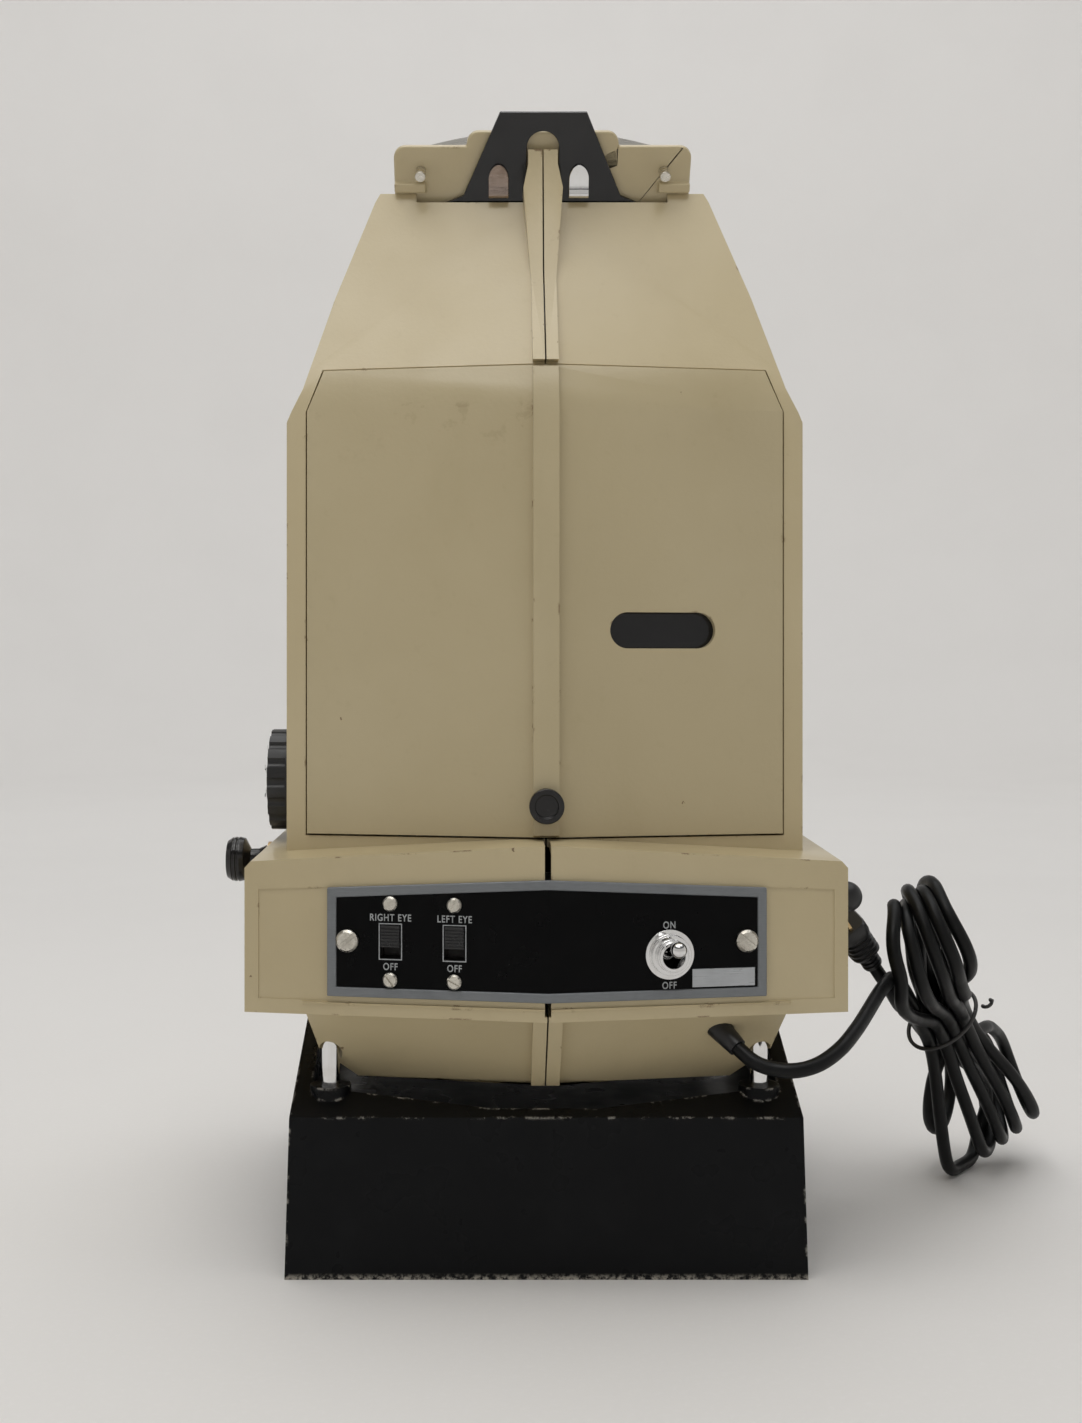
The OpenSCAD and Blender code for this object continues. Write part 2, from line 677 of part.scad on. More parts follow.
// Stands between the two light paths, its back edge on the inside of the sloping wall
rear_inside = inset(tower_rear, wall);
function rear_y(z) = rear_inside[2][0] - (z - rear_inside[2][1]) * tan(head_tilt);
module septum() color("#1b1b1c") difference() {
    along_x(1.2) polygon([
        [-76, 236], [rear_inside[2][0], 236], rear_inside[2], [rear_y(372), 372], [rear_y(372) - 12, 378],
        [-36, 398], [-42, 398], [-45, 393], [-57.6, 366.5], [-66, 355], [-76, 345]
    ]);
    // notches round the seam lugs
    for (at = seam_screw_at) translate([0, at[0] + 10, at[1]]) cube([4, 38, 14], center = true);
}

// ---- door ------------------------------------------------------------------

module door_slab(side) intersection() {
    turned(side, tower_front) along_x(big) difference() {
        polygon(inset(tower_side, -1));
        polygon(inset(tower_side, door_t - 1));
    }
    door_opening(0);
    translate([side > 0 ? 0 : -big, -big / 2, 0]) cube([big, big, 500]);
}

module door() color("#b5a57c") difference() {
    union() {
        for (side = [-1, 1]) door_slab(side);
        // rib in line with the ridge above
        along_x(10) polygon([
            [-tower_front - 4, door_bottom_z + 1], [-tower_front, door_bottom_z], [-tower_front, crease_z],
            [-tower_front + 6, door_top_z - 1], [-tower_front + 3, door_top_z - 1], [-tower_front - 4, crease_z]
        ]);
    }
    on_face(1, tower_front, window_u, window_z) for (x = [-1, 1])
        translate([x * (window_w - window_h) / 2, 10, 0]) out_cylinder(20, window_h);
    on_face(1, tower_front, window_u, window_z)
        translate([-(window_w - window_h) / 2, -10, -window_h / 2]) cube([window_w - window_h, 20, window_h]);
    translate([0, -tower_front + 8, knob_z]) out_cylinder(20, 4);
}

// Goose-neck arms reach round the edge of the slant to pins inside the housing
arm_in = 44.5;
arm_out = 51.5;
module door_arms() color("#8c8f92") for (x = [-64, 64]) translate([x, -hinge_y, hinge_z]) difference() {
    union() {
        intersection() {
            rotate([0, 90, 0]) difference() {
                translate([0, 0, -2]) cylinder(h = 4, r = arm_out, $fn = 96);
                translate([0, 0, -3]) cylinder(h = 6, r = arm_in, $fn = 96);
            }
            along_x(8) polygon([[0, 0], [48, -40], [20, -70], [-30, -70], [-31, -38]]);
        }
        rotate([50, 0, 0]) translate([-2, -4, -arm_in - 3]) cube([4, 8, arm_in + 3]);
        rotate([0, 90, 0]) translate([0, 0, -2]) cylinder(h = 4, d = 10);
        // foot screwed to the back of the door
        translate([-2, door_back(64) + hinge_y, -62]) cube([4, 12, 18]);
    }
    translate([-3, 0, 0]) x_cylinder(6, 4.2);
}

// Where the back of the door lies at a given distance from the seam
function door_back(x) = -tower_front + door_t - 1 + x * tan(prow) + 0.8;

module door_knob() color("#19191b") translate([0, -tower_front - 4, knob_z]) difference() {
    union() {
        out_cylinder(5, 13.4);
        translate([0, 8.5, 0]) out_cylinder(9, 3.9);
    }
    translate([0, -4, 0]) out_cylinder(2, 8.8);
}

module hinge_pins() color("silver") for (side = [-1, 1]) translate([side * 61, -hinge_y, hinge_z])
    rotate([0, side * 90, 0]) cylinder(h = 19, d = 3.95);

// ---- slide drum ------------------------------------------------------------

module octagon(flat, length) rotate([0, 90, 0]) rotate([0, 0, 22.5])
    cylinder(h = length, r = flat / cos(22.5), $fn = 8);

module on_drum() translate([0, -drum_front, drum_z]) children();

module slide_drum() color("#2b2b2d") on_drum() difference() {
    translate([-drum_half, 0, 0]) octagon(drum_flat, drum_half * 2);
    translate([-drum_half + 3, 0, 0]) octagon(drum_flat - 3, drum_half * 2);
    for (i = [0 : 7], side = [-1, 1]) rotate([i * 45, 0, 0])
        translate([side * 28 - 23, -10, drum_flat - 10]) cube([46, 20, 20]);
    translate([-drum_half - 1, 0, 0]) x_cylinder(10, shaft_d);
}

module test_slides() color("#e9e4d4") on_drum() for (i = [0 : 7]) rotate([i * 45, 0, 0])
    translate([-54, -11.5, drum_flat - 4.8]) cube([108, 23, 1.8]);

module drum_shaft() color("#c9ccd0") on_drum() translate([-tower_half - 8, 0, 0])
    x_cylinder(tower_half + 8 - drum_half + 3, shaft_d);

module drum_bearing() color("#b98d4a") on_drum() translate([-tower_half + wall, 0, 0]) difference() {
    union() {
        x_cylinder(14, 18);
        translate([-wall, 0, 0]) x_cylinder(wall, shaft_bush_d);
    }
    translate([-20, 0, 0]) x_cylinder(60, shaft_d + 0.1);
}

module drum_dial() color("#151517") on_drum() translate([-tower_half - 0.7, 0, 0]) rotate([0, -90, 0])
    difference() {
        union() {
            cylinder(h = 9.6, d = dial_d);
            cylinder(h = 11.5, d = 14);
        }
        for (i = [0 : 15]) rotate([0, 0, i * 22.5]) translate([dial_d / 2 + 1.4, 0, 2.4]) cylinder(h = 10, d = 5);
        translate([0, 0, -1]) cylinder(h = 8.3, d = shaft_d);
    }

module lamp_holder() color("#8c8f92") union() {
    translate([66, -drum_front - 8, chassis_z + chassis_t]) cube([1.6, 16, 57]);
    translate([66, -drum_front - 8, chassis_z + chassis_t]) cube([8, 16, 1.6]);
    on_drum() translate([-48, -6, -4]) cube([114, 12, 1.6]);
    on_drum() for (x = [-32, 32]) translate([x - 12, -6, -2.4]) cube([2, 12, 12]);
}

module lamps() color("#efe8cf") on_drum() for (x = [-32, 32]) translate([x - 10, 0, 6]) {
    x_cylinder(8, 7);
    translate([8, 0, 0]) x_cylinder(10, 9);
    translate([18, 0, 0]) sphere(d = 9);
}

// ---- side fittings ---------------------------------------------------------

module lock_knob() color("#151516") translate([-skirt_half - 2.4, -lock_front, lock_z]) rotate([0, -90, 0]) {
    difference() {
        rotate_extrude() polygon([
            [0, 0], [6, 0], [4.6, 3], [4.4, 6.5], [9, 9], [9.5, 11], [9.5, 14], [8, 16.4], [0, 17]
        ]);
        for (z = [11.6, 13.4]) translate([0, 0, z]) difference() {
            cylinder(h = 0.7, d = 24);
            translate([0, 0, -1]) cylinder(h = 3, d = 18);
        }
    }
    translate([0, 0, -lock_reach]) cylinder(h = lock_reach + 0.01, d = 5.9);
}

module lock_bush() color("#b98d4a") translate([-skirt_half - 1.4, -lock_front, lock_z]) rotate([0, 90, 0])
    difference() {
        union() {
            cylinder(h = 16, d = 11.9);
            cylinder(h = 1.2, d = 15);
        }
        translate([0, 0, -1]) cylinder(h = 30, d = 6);
    }

module cord_stop() color("#0d0d0e") translate([skirt_half, -stop_front, stop_z]) {
    x_cylinder(8, 12.4);
    translate([8, 0, 0]) intersection() {
        sphere(d = 12.4);
        x_cylinder(10, 13);
    }
    translate([-5.5, 0, 0]) x_cylinder(6, 4.9);
}

// ---- cord ------------------------------------------------------------------

// Frame of the gland: z points into the housing along the cord
gland_d = 9;
flange_d = 13;
flange_at = 11;
module on_gland() translate(gland_at) rotate([gland_pitch, 0, gland_turn]) children();

module cord_gland() color("#111112") on_gland() {
    translate([0, 0, -10]) cylinder(h = 10, d1 = 7.4, d2 = gland_d);
    cylinder(h = 14, d = gland_d);
    translate([0, 0, flange_at]) cylinder(h = 2.5, d = flange_d);
}

// Smooth curve through a list of points, with steps points between each pair
function curve_point(a, b, c, d, t) = 0.5 * (2 * b + (c - a) * t + (2 * a - 5 * b + 4 * c - d) * t * t
    + (3 * b - a - 3 * c + d) * t * t * t);
function smooth(p, steps) = concat([
    for (i = [0 : len(p) - 2], k = [0 : steps - 1])
        curve_point(p[max(i - 1, 0)], p[i], p[i + 1], p[min(i + 2, len(p) - 1)], k / steps)
], [p[len(p) - 1]]);

function heading(p, i) = unit(p[min(i + 1, len(p) - 1)] - p[max(i - 1, 0)]);
function side_way(h) = unit(cross(h, abs(h[2]) > 0.9 ? [0, 1, 0] : [0, 0, 1]));

// Round tube swept along a list of points
module tube(p, d, sides = 10) {
    rings = [for (i = [0 : len(p) - 1]) let (h = heading(p, i), a = side_way(h), b = cross(h, a))
        for (k = [0 : sides - 1]) p[i] + (a * cos(k * 360 / sides) + b * sin(k * 360 / sides)) * d / 2];
    last = (len(p) - 1) * sides;
    polyhedron(rings, concat(
        [[for (k = [0 : sides - 1]) k]],
        [for (i = [0 : len(p) - 2], k = [0 : sides - 1]) let (n = (k + 1) % sides)
            [i * sides + k, (i + 1) * sides + k, (i + 1) * sides + n, i * sides + n]],
        [[for (k = [sides - 1 : -1 : 0]) last + k]]
    ));
}

module cord() color("#2a2b2c") tube(smooth(cord_route, 3), cord_d);
module cord_tail() color("#2a2b2c") tube(smooth(tail_route, 3), cord_d);

module cord_hank() color("#0b0c0d") translate(hank_at) rotate([0, hank_side, 0]) rotate([hank_lean, 0, 0])
    translate([0, hank_t / 2, 0]) rotate([90, 0, 0]) linear_extrude(hank_t) hull() {
        translate([0, hank_top]) circle(d = hank_top_d);
        translate([2, hank_bottom]) circle(d = hank_bottom_d);
    }

module plug() color("#101011") translate(plug_at) rotate([plug_pitch, plug_lean, 0]) {
    translate([-7, -9, 0]) cube([14, 18, 17]);
    translate([0, 0, -8]) cylinder(h = 8.1, d = 9);
    for (y = [-6.3, 6.3]) translate([-0.8, y - 0.8, 17]) cube([1.6, 1.6, 12]);
}

// ---- output ----------------------------------------------------------------

foot_casting();
foot_bottom_plate();
foot_pad();
foot_screws();
column(column_sides[0]);  // column_front_left
column(column_sides[1]);  // column_front_right
column(column_sides[2]);  // column_back_left
column(column_sides[3]);  // column_back_right
housing_half(-1);  // housing_left
housing_half(1);  // housing_right
housing_screws();
column_bushes();
chin_cover();
chassis_plate();
panel_frame();
panel_face();
panel_screws();
switch_screws();
serial_plate();
eye_switch(eye_switch_u[0]);  // right_eye_switch
eye_switch(eye_switch_u[1]);  // left_eye_switch
eye_slider(eye_switch_u[0]);  // right_eye_slider
eye_slider(eye_switch_u[1]);  // left_eye_slider
toggle_switch();
toggle_bushing();
toggle_lever();
terminal_block();
face_plate();
accessory_studs();
forehead_band();
eyepiece(-1);  // eyepiece_left
eyepiece(1);  // eyepiece_right
eye_lens(-1);  // eye_lens_left
eye_lens(1);  // eye_lens_right
near_lens_plate();
near_lenses();
color("#7a6a5c") plate_spring(-18);  // plate_spring_left
color("#d5d7da") plate_spring(15);  // plate_spring_right
mirror();
mirror_bracket();
septum();
door();
door_arms();
door_knob();
hinge_pins();
slide_drum();
test_slides();
drum_shaft();
drum_dial();
drum_bearing();
lamp_holder();
lamps();
lock_knob();
lock_bush();
cord_stop();
cord_gland();
cord();
cord_hank();
cord_tail();
plug();
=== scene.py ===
import math

import bmesh
import bpy
import numpy as np
from mathutils import Matrix, Vector


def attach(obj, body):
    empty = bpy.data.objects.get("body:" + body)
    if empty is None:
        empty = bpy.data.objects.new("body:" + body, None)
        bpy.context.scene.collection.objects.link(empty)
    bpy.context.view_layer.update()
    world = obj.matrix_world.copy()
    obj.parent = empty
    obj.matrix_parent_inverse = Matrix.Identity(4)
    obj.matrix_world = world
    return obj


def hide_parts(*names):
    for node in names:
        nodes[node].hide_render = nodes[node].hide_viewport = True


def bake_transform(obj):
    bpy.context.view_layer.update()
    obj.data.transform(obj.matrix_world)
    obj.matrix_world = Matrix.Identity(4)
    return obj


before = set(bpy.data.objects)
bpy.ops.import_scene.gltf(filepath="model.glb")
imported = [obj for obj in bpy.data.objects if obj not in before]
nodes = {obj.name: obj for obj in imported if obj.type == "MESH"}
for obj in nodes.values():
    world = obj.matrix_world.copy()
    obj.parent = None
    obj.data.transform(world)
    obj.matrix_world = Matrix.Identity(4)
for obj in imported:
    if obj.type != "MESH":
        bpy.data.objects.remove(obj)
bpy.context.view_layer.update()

# A stereoscopic vision screener seen from the operator's side. Lengths in
# part.scad are millimetres, and so are the ones written here.
MM = 0.001
scene = bpy.context.scene


def mm(*values):
    return Vector(values) * MM


# ---- camera ----------------------------------------------------------------

camera_data = bpy.data.cameras.new("camera")
camera_data.lens = 40.98
camera_data.sensor_width = 36
camera_data.shift_x = 0.0358
camera_data.shift_y = -0.0334
camera_data.clip_start = 0.01
camera = bpy.data.objects.new("camera", camera_data)
camera.location = mm(-21.5, -718, 235)
camera.rotation_euler = (math.radians(90), 0, 0)
scene.collection.objects.link(camera)
scene.camera = camera

# ---- frames repeated from part.scad ----------------------------------------

PROW = math.radians(9.5)
SKIRT_FRONT = 118
TOWER_FRONT = 97
PANEL_MID_Z = 130.7
EYE_SWITCH_U = (59.5, 35)


def on_face(side, front, u, z):
    """Frame on a turned front face: x along the face, y into the housing."""
    turn = Matrix.Translation(mm(0, -front, 0)) @ Matrix.Rotation(side * PROW, 4, "Z")
    return turn @ Matrix.Translation(mm(side * u, 0, z))


ON_HEAD = Matrix.Translation(mm(0, -46, 430)) @ Matrix.Rotation(math.radians(35), 4, "X")

# ---- mesh helpers ----------------------------------------------------------


def new_object(name, mesh, matrix=None):
    made = bpy.data.objects.new(name, mesh)
    scene.collection.objects.link(made)
    if matrix is not None:
        mesh.transform(matrix)
    return made


def mesh_from(name, points, faces, matrix=None, smooth=True):
    mesh = bpy.data.meshes.new(name)
    mesh.from_pydata([tuple(p) for p in points], [], faces)
    mesh.validate()
    mesh.polygons.foreach_set("use_smooth", [smooth] * len(mesh.polygons))
    bm = bmesh.new()
    bm.from_mesh(mesh)
    bmesh.ops.recalc_face_normals(bm, faces=bm.faces)
    bm.to_mesh(mesh)
    bm.free()
    return new_object(name, mesh, matrix)


def join(name, pieces):
    """Several objects as one piece, each keeping its own materials."""
    bpy.context.view_layer.update()
    bm = bmesh.new()
    slots = []
    for piece in pieces:
        first = len(bm.faces)
        own = [m for m in piece.data.materials]
        bm.from_mesh(piece.data)
        bm.faces.ensure_lookup_table()
        for face in bm.faces[first:]:
            chosen = own[face.material_index] if own else None
            if chosen not in slots:
                slots.append(chosen)
            face.material_index = slots.index(chosen)
    mesh = bpy.data.meshes.new(name)
    bm.to_mesh(mesh)
    bm.free()
    for chosen in slots:
        mesh.materials.append(chosen)
    for piece in pieces:
        bpy.data.objects.remove(piece)
    return new_object(name, mesh)


def loft(name, rings, closed_ends=True, matrix=None, smooth=True):
    """Skin over rings of points, all of the same count."""
    count = len(rings[0])
    points = [p for ring in rings for p in ring]
    faces = []
    for i in range(len(rings) - 1):
        for k in range(count):
            n = (k + 1) % count
            faces.append((i * count + k, i * count + n, (i + 1) * count + n, (i + 1) * count + k))
    if closed_ends:
        faces.append(tuple(range(count)))
        faces.append(tuple(range(len(points) - count, len(points))))
    return mesh_from(name, points, faces, matrix, smooth)


def oval(rx, ry, z, power=2.0, count=32, shift=(0, 0)):
    """Superellipse ring: sizes in millimetres, points in metres."""
    ring = []
    for k in range(count):
        a = 2 * math.pi * k / count
        c, s = math.cos(a), math.sin(a)
        x = math.copysign(abs(c) ** (2 / power), c) * rx + shift[0]
        y = math.copysign(abs(s) ** (2 / power), s) * ry + shift[1]
        ring.append(mm(x, y, z))
    return ring


def edge_split(piece, degrees=35):
    split = piece.modifiers.new("split", "EDGE_SPLIT")
    split.split_angle = math.radians(degrees)


def frames_along(line):
    """Side vectors carried along a line without twist."""
    heads = np.gradient(line, axis=0)
    heads /= np.linalg.norm(heads, axis=1)[:, None]
    side = np.cross(heads[0], (0, 0, 1))
    if np.linalg.norm(side) < 0.1:
        side = np.cross(heads[0], (1, 0, 0))
    sides = []
    for head in heads:
        side = side - head * side.dot(head)
        side /= np.linalg.norm(side)
        sides.append(side)
    sides = np.array(sides)
    return sides, np.cross(heads, sides)


def tube(name, line, radius, sides=14):
    """Round tube on a line in metres; radius is one number or one for each point."""
    line = np.asarray(line, float)
    across, up = frames_along(line)
    radii = np.broadcast_to(np.asarray(radius, float), len(line))
    angles = np.arange(sides) * 2 * math.pi / sides
    rings = [
        [p + r * (a * math.cos(t) + u * math.sin(t)) for t in angles]
        for p, r, a, u in zip(line, radii, across, up)
    ]
    return loft(name, rings)


def spline(points, steps):
    """Catmull-Rom curve through the points."""
    p = np.asarray(points, float)
    p = np.vstack([2 * p[0] - p[1], p, 2 * p[-1] - p[-2]])
    out = []
    for i in range(1, len(p) - 2):
        a, b, c, d = p[i - 1], p[i], p[i + 1], p[i + 2]
        for k in range(steps):
            t = k / steps
            out.append(0.5 * (2 * b + (c - a) * t + (2 * a - 5 * b + 4 * c - d) * t * t
                              + (3 * b - a - 3 * c + d) * t ** 3))
    out.append(p[-2])
    return np.array(out)


def even(line, step):
    """The line with points a step apart."""
    gaps = np.linalg.norm(np.diff(line, axis=0), axis=1)
    along = np.concatenate([[0], np.cumsum(gaps)])
    count = max(2, int(round(along[-1] / step)) + 1)
    at = np.linspace(0, along[-1], count)
    return np.stack([np.interp(at, along, line[:, k]) for k in range(3)], axis=1)


# ---- the cord ----------------------------------------------------------------

CORD_D = 5.8
GLAND_AT = np.array([67, -95.2, 94.5])
GLAND_OUT = np.array([0.576, -0.596, -0.559])
CORD_ROUTE = [
    [79.4, -107.2, 84.2], [90, -111.5, 82.6], [101, -109, 84], [111.5, -101, 88],
    [120.5, -89.5, 93], [128.5, -76.5, 98], [136, -62.5, 102], [143, -49.5, 104], [149, -38.5, 103],
]
TAIL_ROUTE = [
    [140, -33.5, 108.4], [143, -31.6, 104.2], [146.2, -29.4, 99.9], [149.5, -26.8, 95.6],
    [153.5, -23.3, 90.4],
]
PLUG_AT = np.array([136.0, -36, 114])
HANK_AT = np.array([181.0, 6, 75])
HANK_U = np.array([-0.3591, -0.5736, 0.7363])
HANK_X = np.array([0.8988, 0, 0.4384])
HANK_T = np.array([-0.2514, 0.8192, 0.5155])


def hank(x, t, s):
    """Point of the hank: across, through and along it."""
    return HANK_AT + HANK_X * x + HANK_T * t + HANK_U * s


# Folds at the foot and the head of the hank: across, through, along, the angle
# by which the fold is turned from lying across, and its radius
LOW_FOLDS = [(-7, -11, -59, 40, 22.5), (3, -4, -61, 62, 21), (11, 0, -64, 70, 20), (18, 3, -65, 76, 20),
             (27, 5, -63, 80, 20), (-9, 9, -52, 50, 20)]
HIGH_FOLDS = [(-8, -6, 57, 56, 23), (-2, -4, 55, 70, 21), (4, -2, 57, 80, 20), (9.5, -1, 55, 84, 20.5),
              (14, 2, 53, 92, 20.5)]
# Column and row of each run in the tied waist
WAIST = [(0, 0), (0, 1), (1, 0), (1, 2), (2, 0), (2, 2), (3, 0), (3, 2), (3, 1), (2, 1), (1, 1), (0, 2)]
FOLD_STEPS = 7


def fold_points(fold, end):
    """Half circle, from the near side of a low fold or the far side of a high one."""
    x, t, s, turn, radius = fold
    wx, wt = -end * math.cos(math.radians(turn)), -end * math.sin(math.radians(turn))
    points = []
    for k in range(FOLD_STEPS):
        a = math.pi * k / (FOLD_STEPS - 1)
        w = -math.cos(a) * radius
        points.append((x + wx * w, t + wt * w, s + end * math.sin(a) * radius))
    return points


def hank_line():
    """The cord's centreline through the hank, before it settles."""
    folds = []
    for i, low in enumerate(LOW_FOLDS):
        folds.append(fold_points(low, -1))
        if i < len(HIGH_FOLDS):
            folds.append(fold_points(HIGH_FOLDS[i], 1))
    runs = [((-14, -11, 40), folds[0][0])]
    runs += [(folds[i][-1], folds[i + 1][0]) for i in range(len(folds) - 1)]
    runs.append((folds[-1][-1], (-17, -8, 38)))
    line = []
    for i, (a, b) in enumerate(runs):
        column, row = WAIST[i]
        w = np.array([-8.9 + column * 5.95 + (1.5 if row == 1 else -1), (row - 1) * 5.4, 0])
        for begin, stop in ((np.array(a, float), w), (w, np.array(b, float))):
            for t in (0.33, 0.67):
                ease = t * t * (3 - 2 * t)
                p = begin + (stop - begin) * ease
                p[2] = begin[2] + (stop[2] - begin[2]) * t
                line.append(p)
            if stop is w:
                line.append(w)
        if i < len(folds):
            line += [np.array(p, float) for p in folds[i]]
    return [hank(*p) for p in line]


SETTLE_ROUNDS = 70
BEND_SHARE = 0.05
CONTACT_SHARE = 0.9
TOUCH = CORD_D + 0.05
TIE_HALF = (13.5, 9.5)
TIE_REACH = 5


def settle(line, fixed_start, fixed_end):
    """Pushes the turns apart, keeps the bends round, and lets nothing sink into the table."""
    p = line.copy()
    count = len(p)
    rest = np.linalg.norm(np.diff(p, axis=0), axis=1).mean()
    index = np.arange(count)
    apart = np.abs(index[:, None] - index[None, :]) > int(2.2 * CORD_D / rest)
    free = np.ones(count)
    free[:fixed_start] = 0
    free[count - fixed_end:] = 0
    for _ in range(SETTLE_ROUNDS):
        # bending
        bend = np.zeros_like(p)
        bend[2:-2] = (p[:-4] - 4 * p[1:-3] + 6 * p[2:-2] - 4 * p[3:-1] + p[4:])
        p -= bend * BEND_SHARE * free[:, None]
        # contact
        delta = p[:, None, :] - p[None, :, :]
        far = np.sqrt((delta ** 2).sum(2)) + 1e-9
        close = apart & (far < TOUCH)
        push = np.where(close, (TOUCH - far) / far, 0)[:, :, None] * delta
        hits = np.maximum(close.sum(1), 1)[:, None]
        p += CONTACT_SHARE * push.sum(1) / hits * free[:, None]
        # the tie
        local = p - HANK_AT
        s, x, t = local @ HANK_U, local @ HANK_X, local @ HANK_T
        near = (np.abs(s) < TIE_REACH) & (free > 0)
        size = np.sqrt((x / TIE_HALF[0]) ** 2 + (t / TIE_HALF[1]) ** 2)
        squeeze = np.where(near & (size > 1), 1 / np.maximum(size, 1), 1)
        p += ((squeeze - 1) * x)[:, None] * HANK_X * 0.5 + ((squeeze - 1) * t)[:, None] * HANK_T * 0.5
        # the table
        p[:, 2] = np.maximum(p[:, 2], CORD_D / 2)
        # length
        for _again in range(3):
            gap = np.diff(p, axis=0)
            long = np.linalg.norm(gap, axis=1)[:, None]
            fix = gap * (1 - rest / long) * 0.5
            p[:-1] += fix * free[:-1, None]
            p[1:] -= fix * free[1:, None]
    return p


CORD_STEP = 3.6
entry = [GLAND_AT + GLAND_OUT * 2, GLAND_AT + GLAND_OUT * 10] + CORD_ROUTE
tail = TAIL_ROUTE[::-1] + [(PLUG_AT + [2.2, 1.4, -3.1]).tolist()]
entry_count = len(even(spline(entry, 6), CORD_STEP))
tail_count = len(even(spline(tail, 6), CORD_STEP))
whole = even(spline(np.array(entry + hank_line() + tail), 6), CORD_STEP)
whole = settle(whole, entry_count - 4, tail_count - 3)
cord_line = even(spline(whole, 2), 2.4) * MM
cord = tube("mains_cord", cord_line, CORD_D / 2 * MM, sides=14)

# Thin tie round the waist, its ends twisted together
tie_points = []
for k in range(33):
    a = 2 * math.pi * (k / 32) - 0.6
    tie_points.append(hank(16.4 * math.cos(a), 12.6 * math.sin(a), 2.5 + 5 * math.cos(a)))
tie_loop = tube("tie_loop", spline(tie_points, 3) * MM, 0.9 * MM, sides=8)
twist = []
for k in range(12):
    a = k * 0.9
    twist.append(hank(16.5 + k * 0.55 + 1.0 * math.cos(a), -7.4 - k * 0.1 + 1.0 * math.sin(a), 6 + k * 0.35))
tie_twist = tube("tie_twist", spline(twist, 3) * MM, 0.8 * MM, sides=8)
tie = join("hank_tie", [tie_loop, tie_twist])

# Plug: a moulded body with a ribbed grip, a ringed neck and two flat pins
PLUG_FRAME = (Matrix.Translation(Vector(PLUG_AT) * MM) @ Matrix.Rotation(math.radians(-36), 4, "Y")
              @ Matrix.Rotation(math.radians(20), 4, "X"))
plug_rings = [oval(3.0, 3.0, -8.2), oval(4.0, 4.0, -8)]
for z in (-7.2, -5.2, -3.2):
    plug_rings += [oval(4.3, 4.3, z), oval(4.3, 4.3, z + 0.9),
                   oval(3.7, 3.7, z + 1.1), oval(3.7, 3.7, z + 1.8)]
plug_rings += [oval(4.6, 5.2, -1.2, 2.2), oval(5.6, 7.0, 0, 2.6)]
for z in (1.4, 3.8, 6.2, 8.6):
    plug_rings += [oval(6.4, 8.2, z, 3.4), oval(6.5, 8.5, z + 0.9, 3.4),
                   oval(5.8, 7.8, z + 1.2, 3.4), oval(5.8, 7.8, z + 2.0, 3.4)]
plug_rings += [oval(6.7, 8.8, 11.4, 3.8), oval(6.9, 9.0, 12.4, 4),
               oval(6.9, 9.0, 16.2, 4), oval(6.3, 8.4, 17, 4)]
plug_body = loft("plug_body", plug_rings, matrix=PLUG_FRAME)
plug_pins = []
for y in (-6.3, 6.3):
    rings = [oval(0.8, 0.8, z, 5, 12, (0, y)) for z in (16.5, 27)]
    rings += [oval(0.7, 0.7, 28.2, 4, 12, (0, y)), oval(0.4, 0.4, 29, 3, 12, (0, y))]
    plug_pins.append(loft("plug_pin", rings, matrix=PLUG_FRAME))

# ---- materials ---------------------------------------------------------------


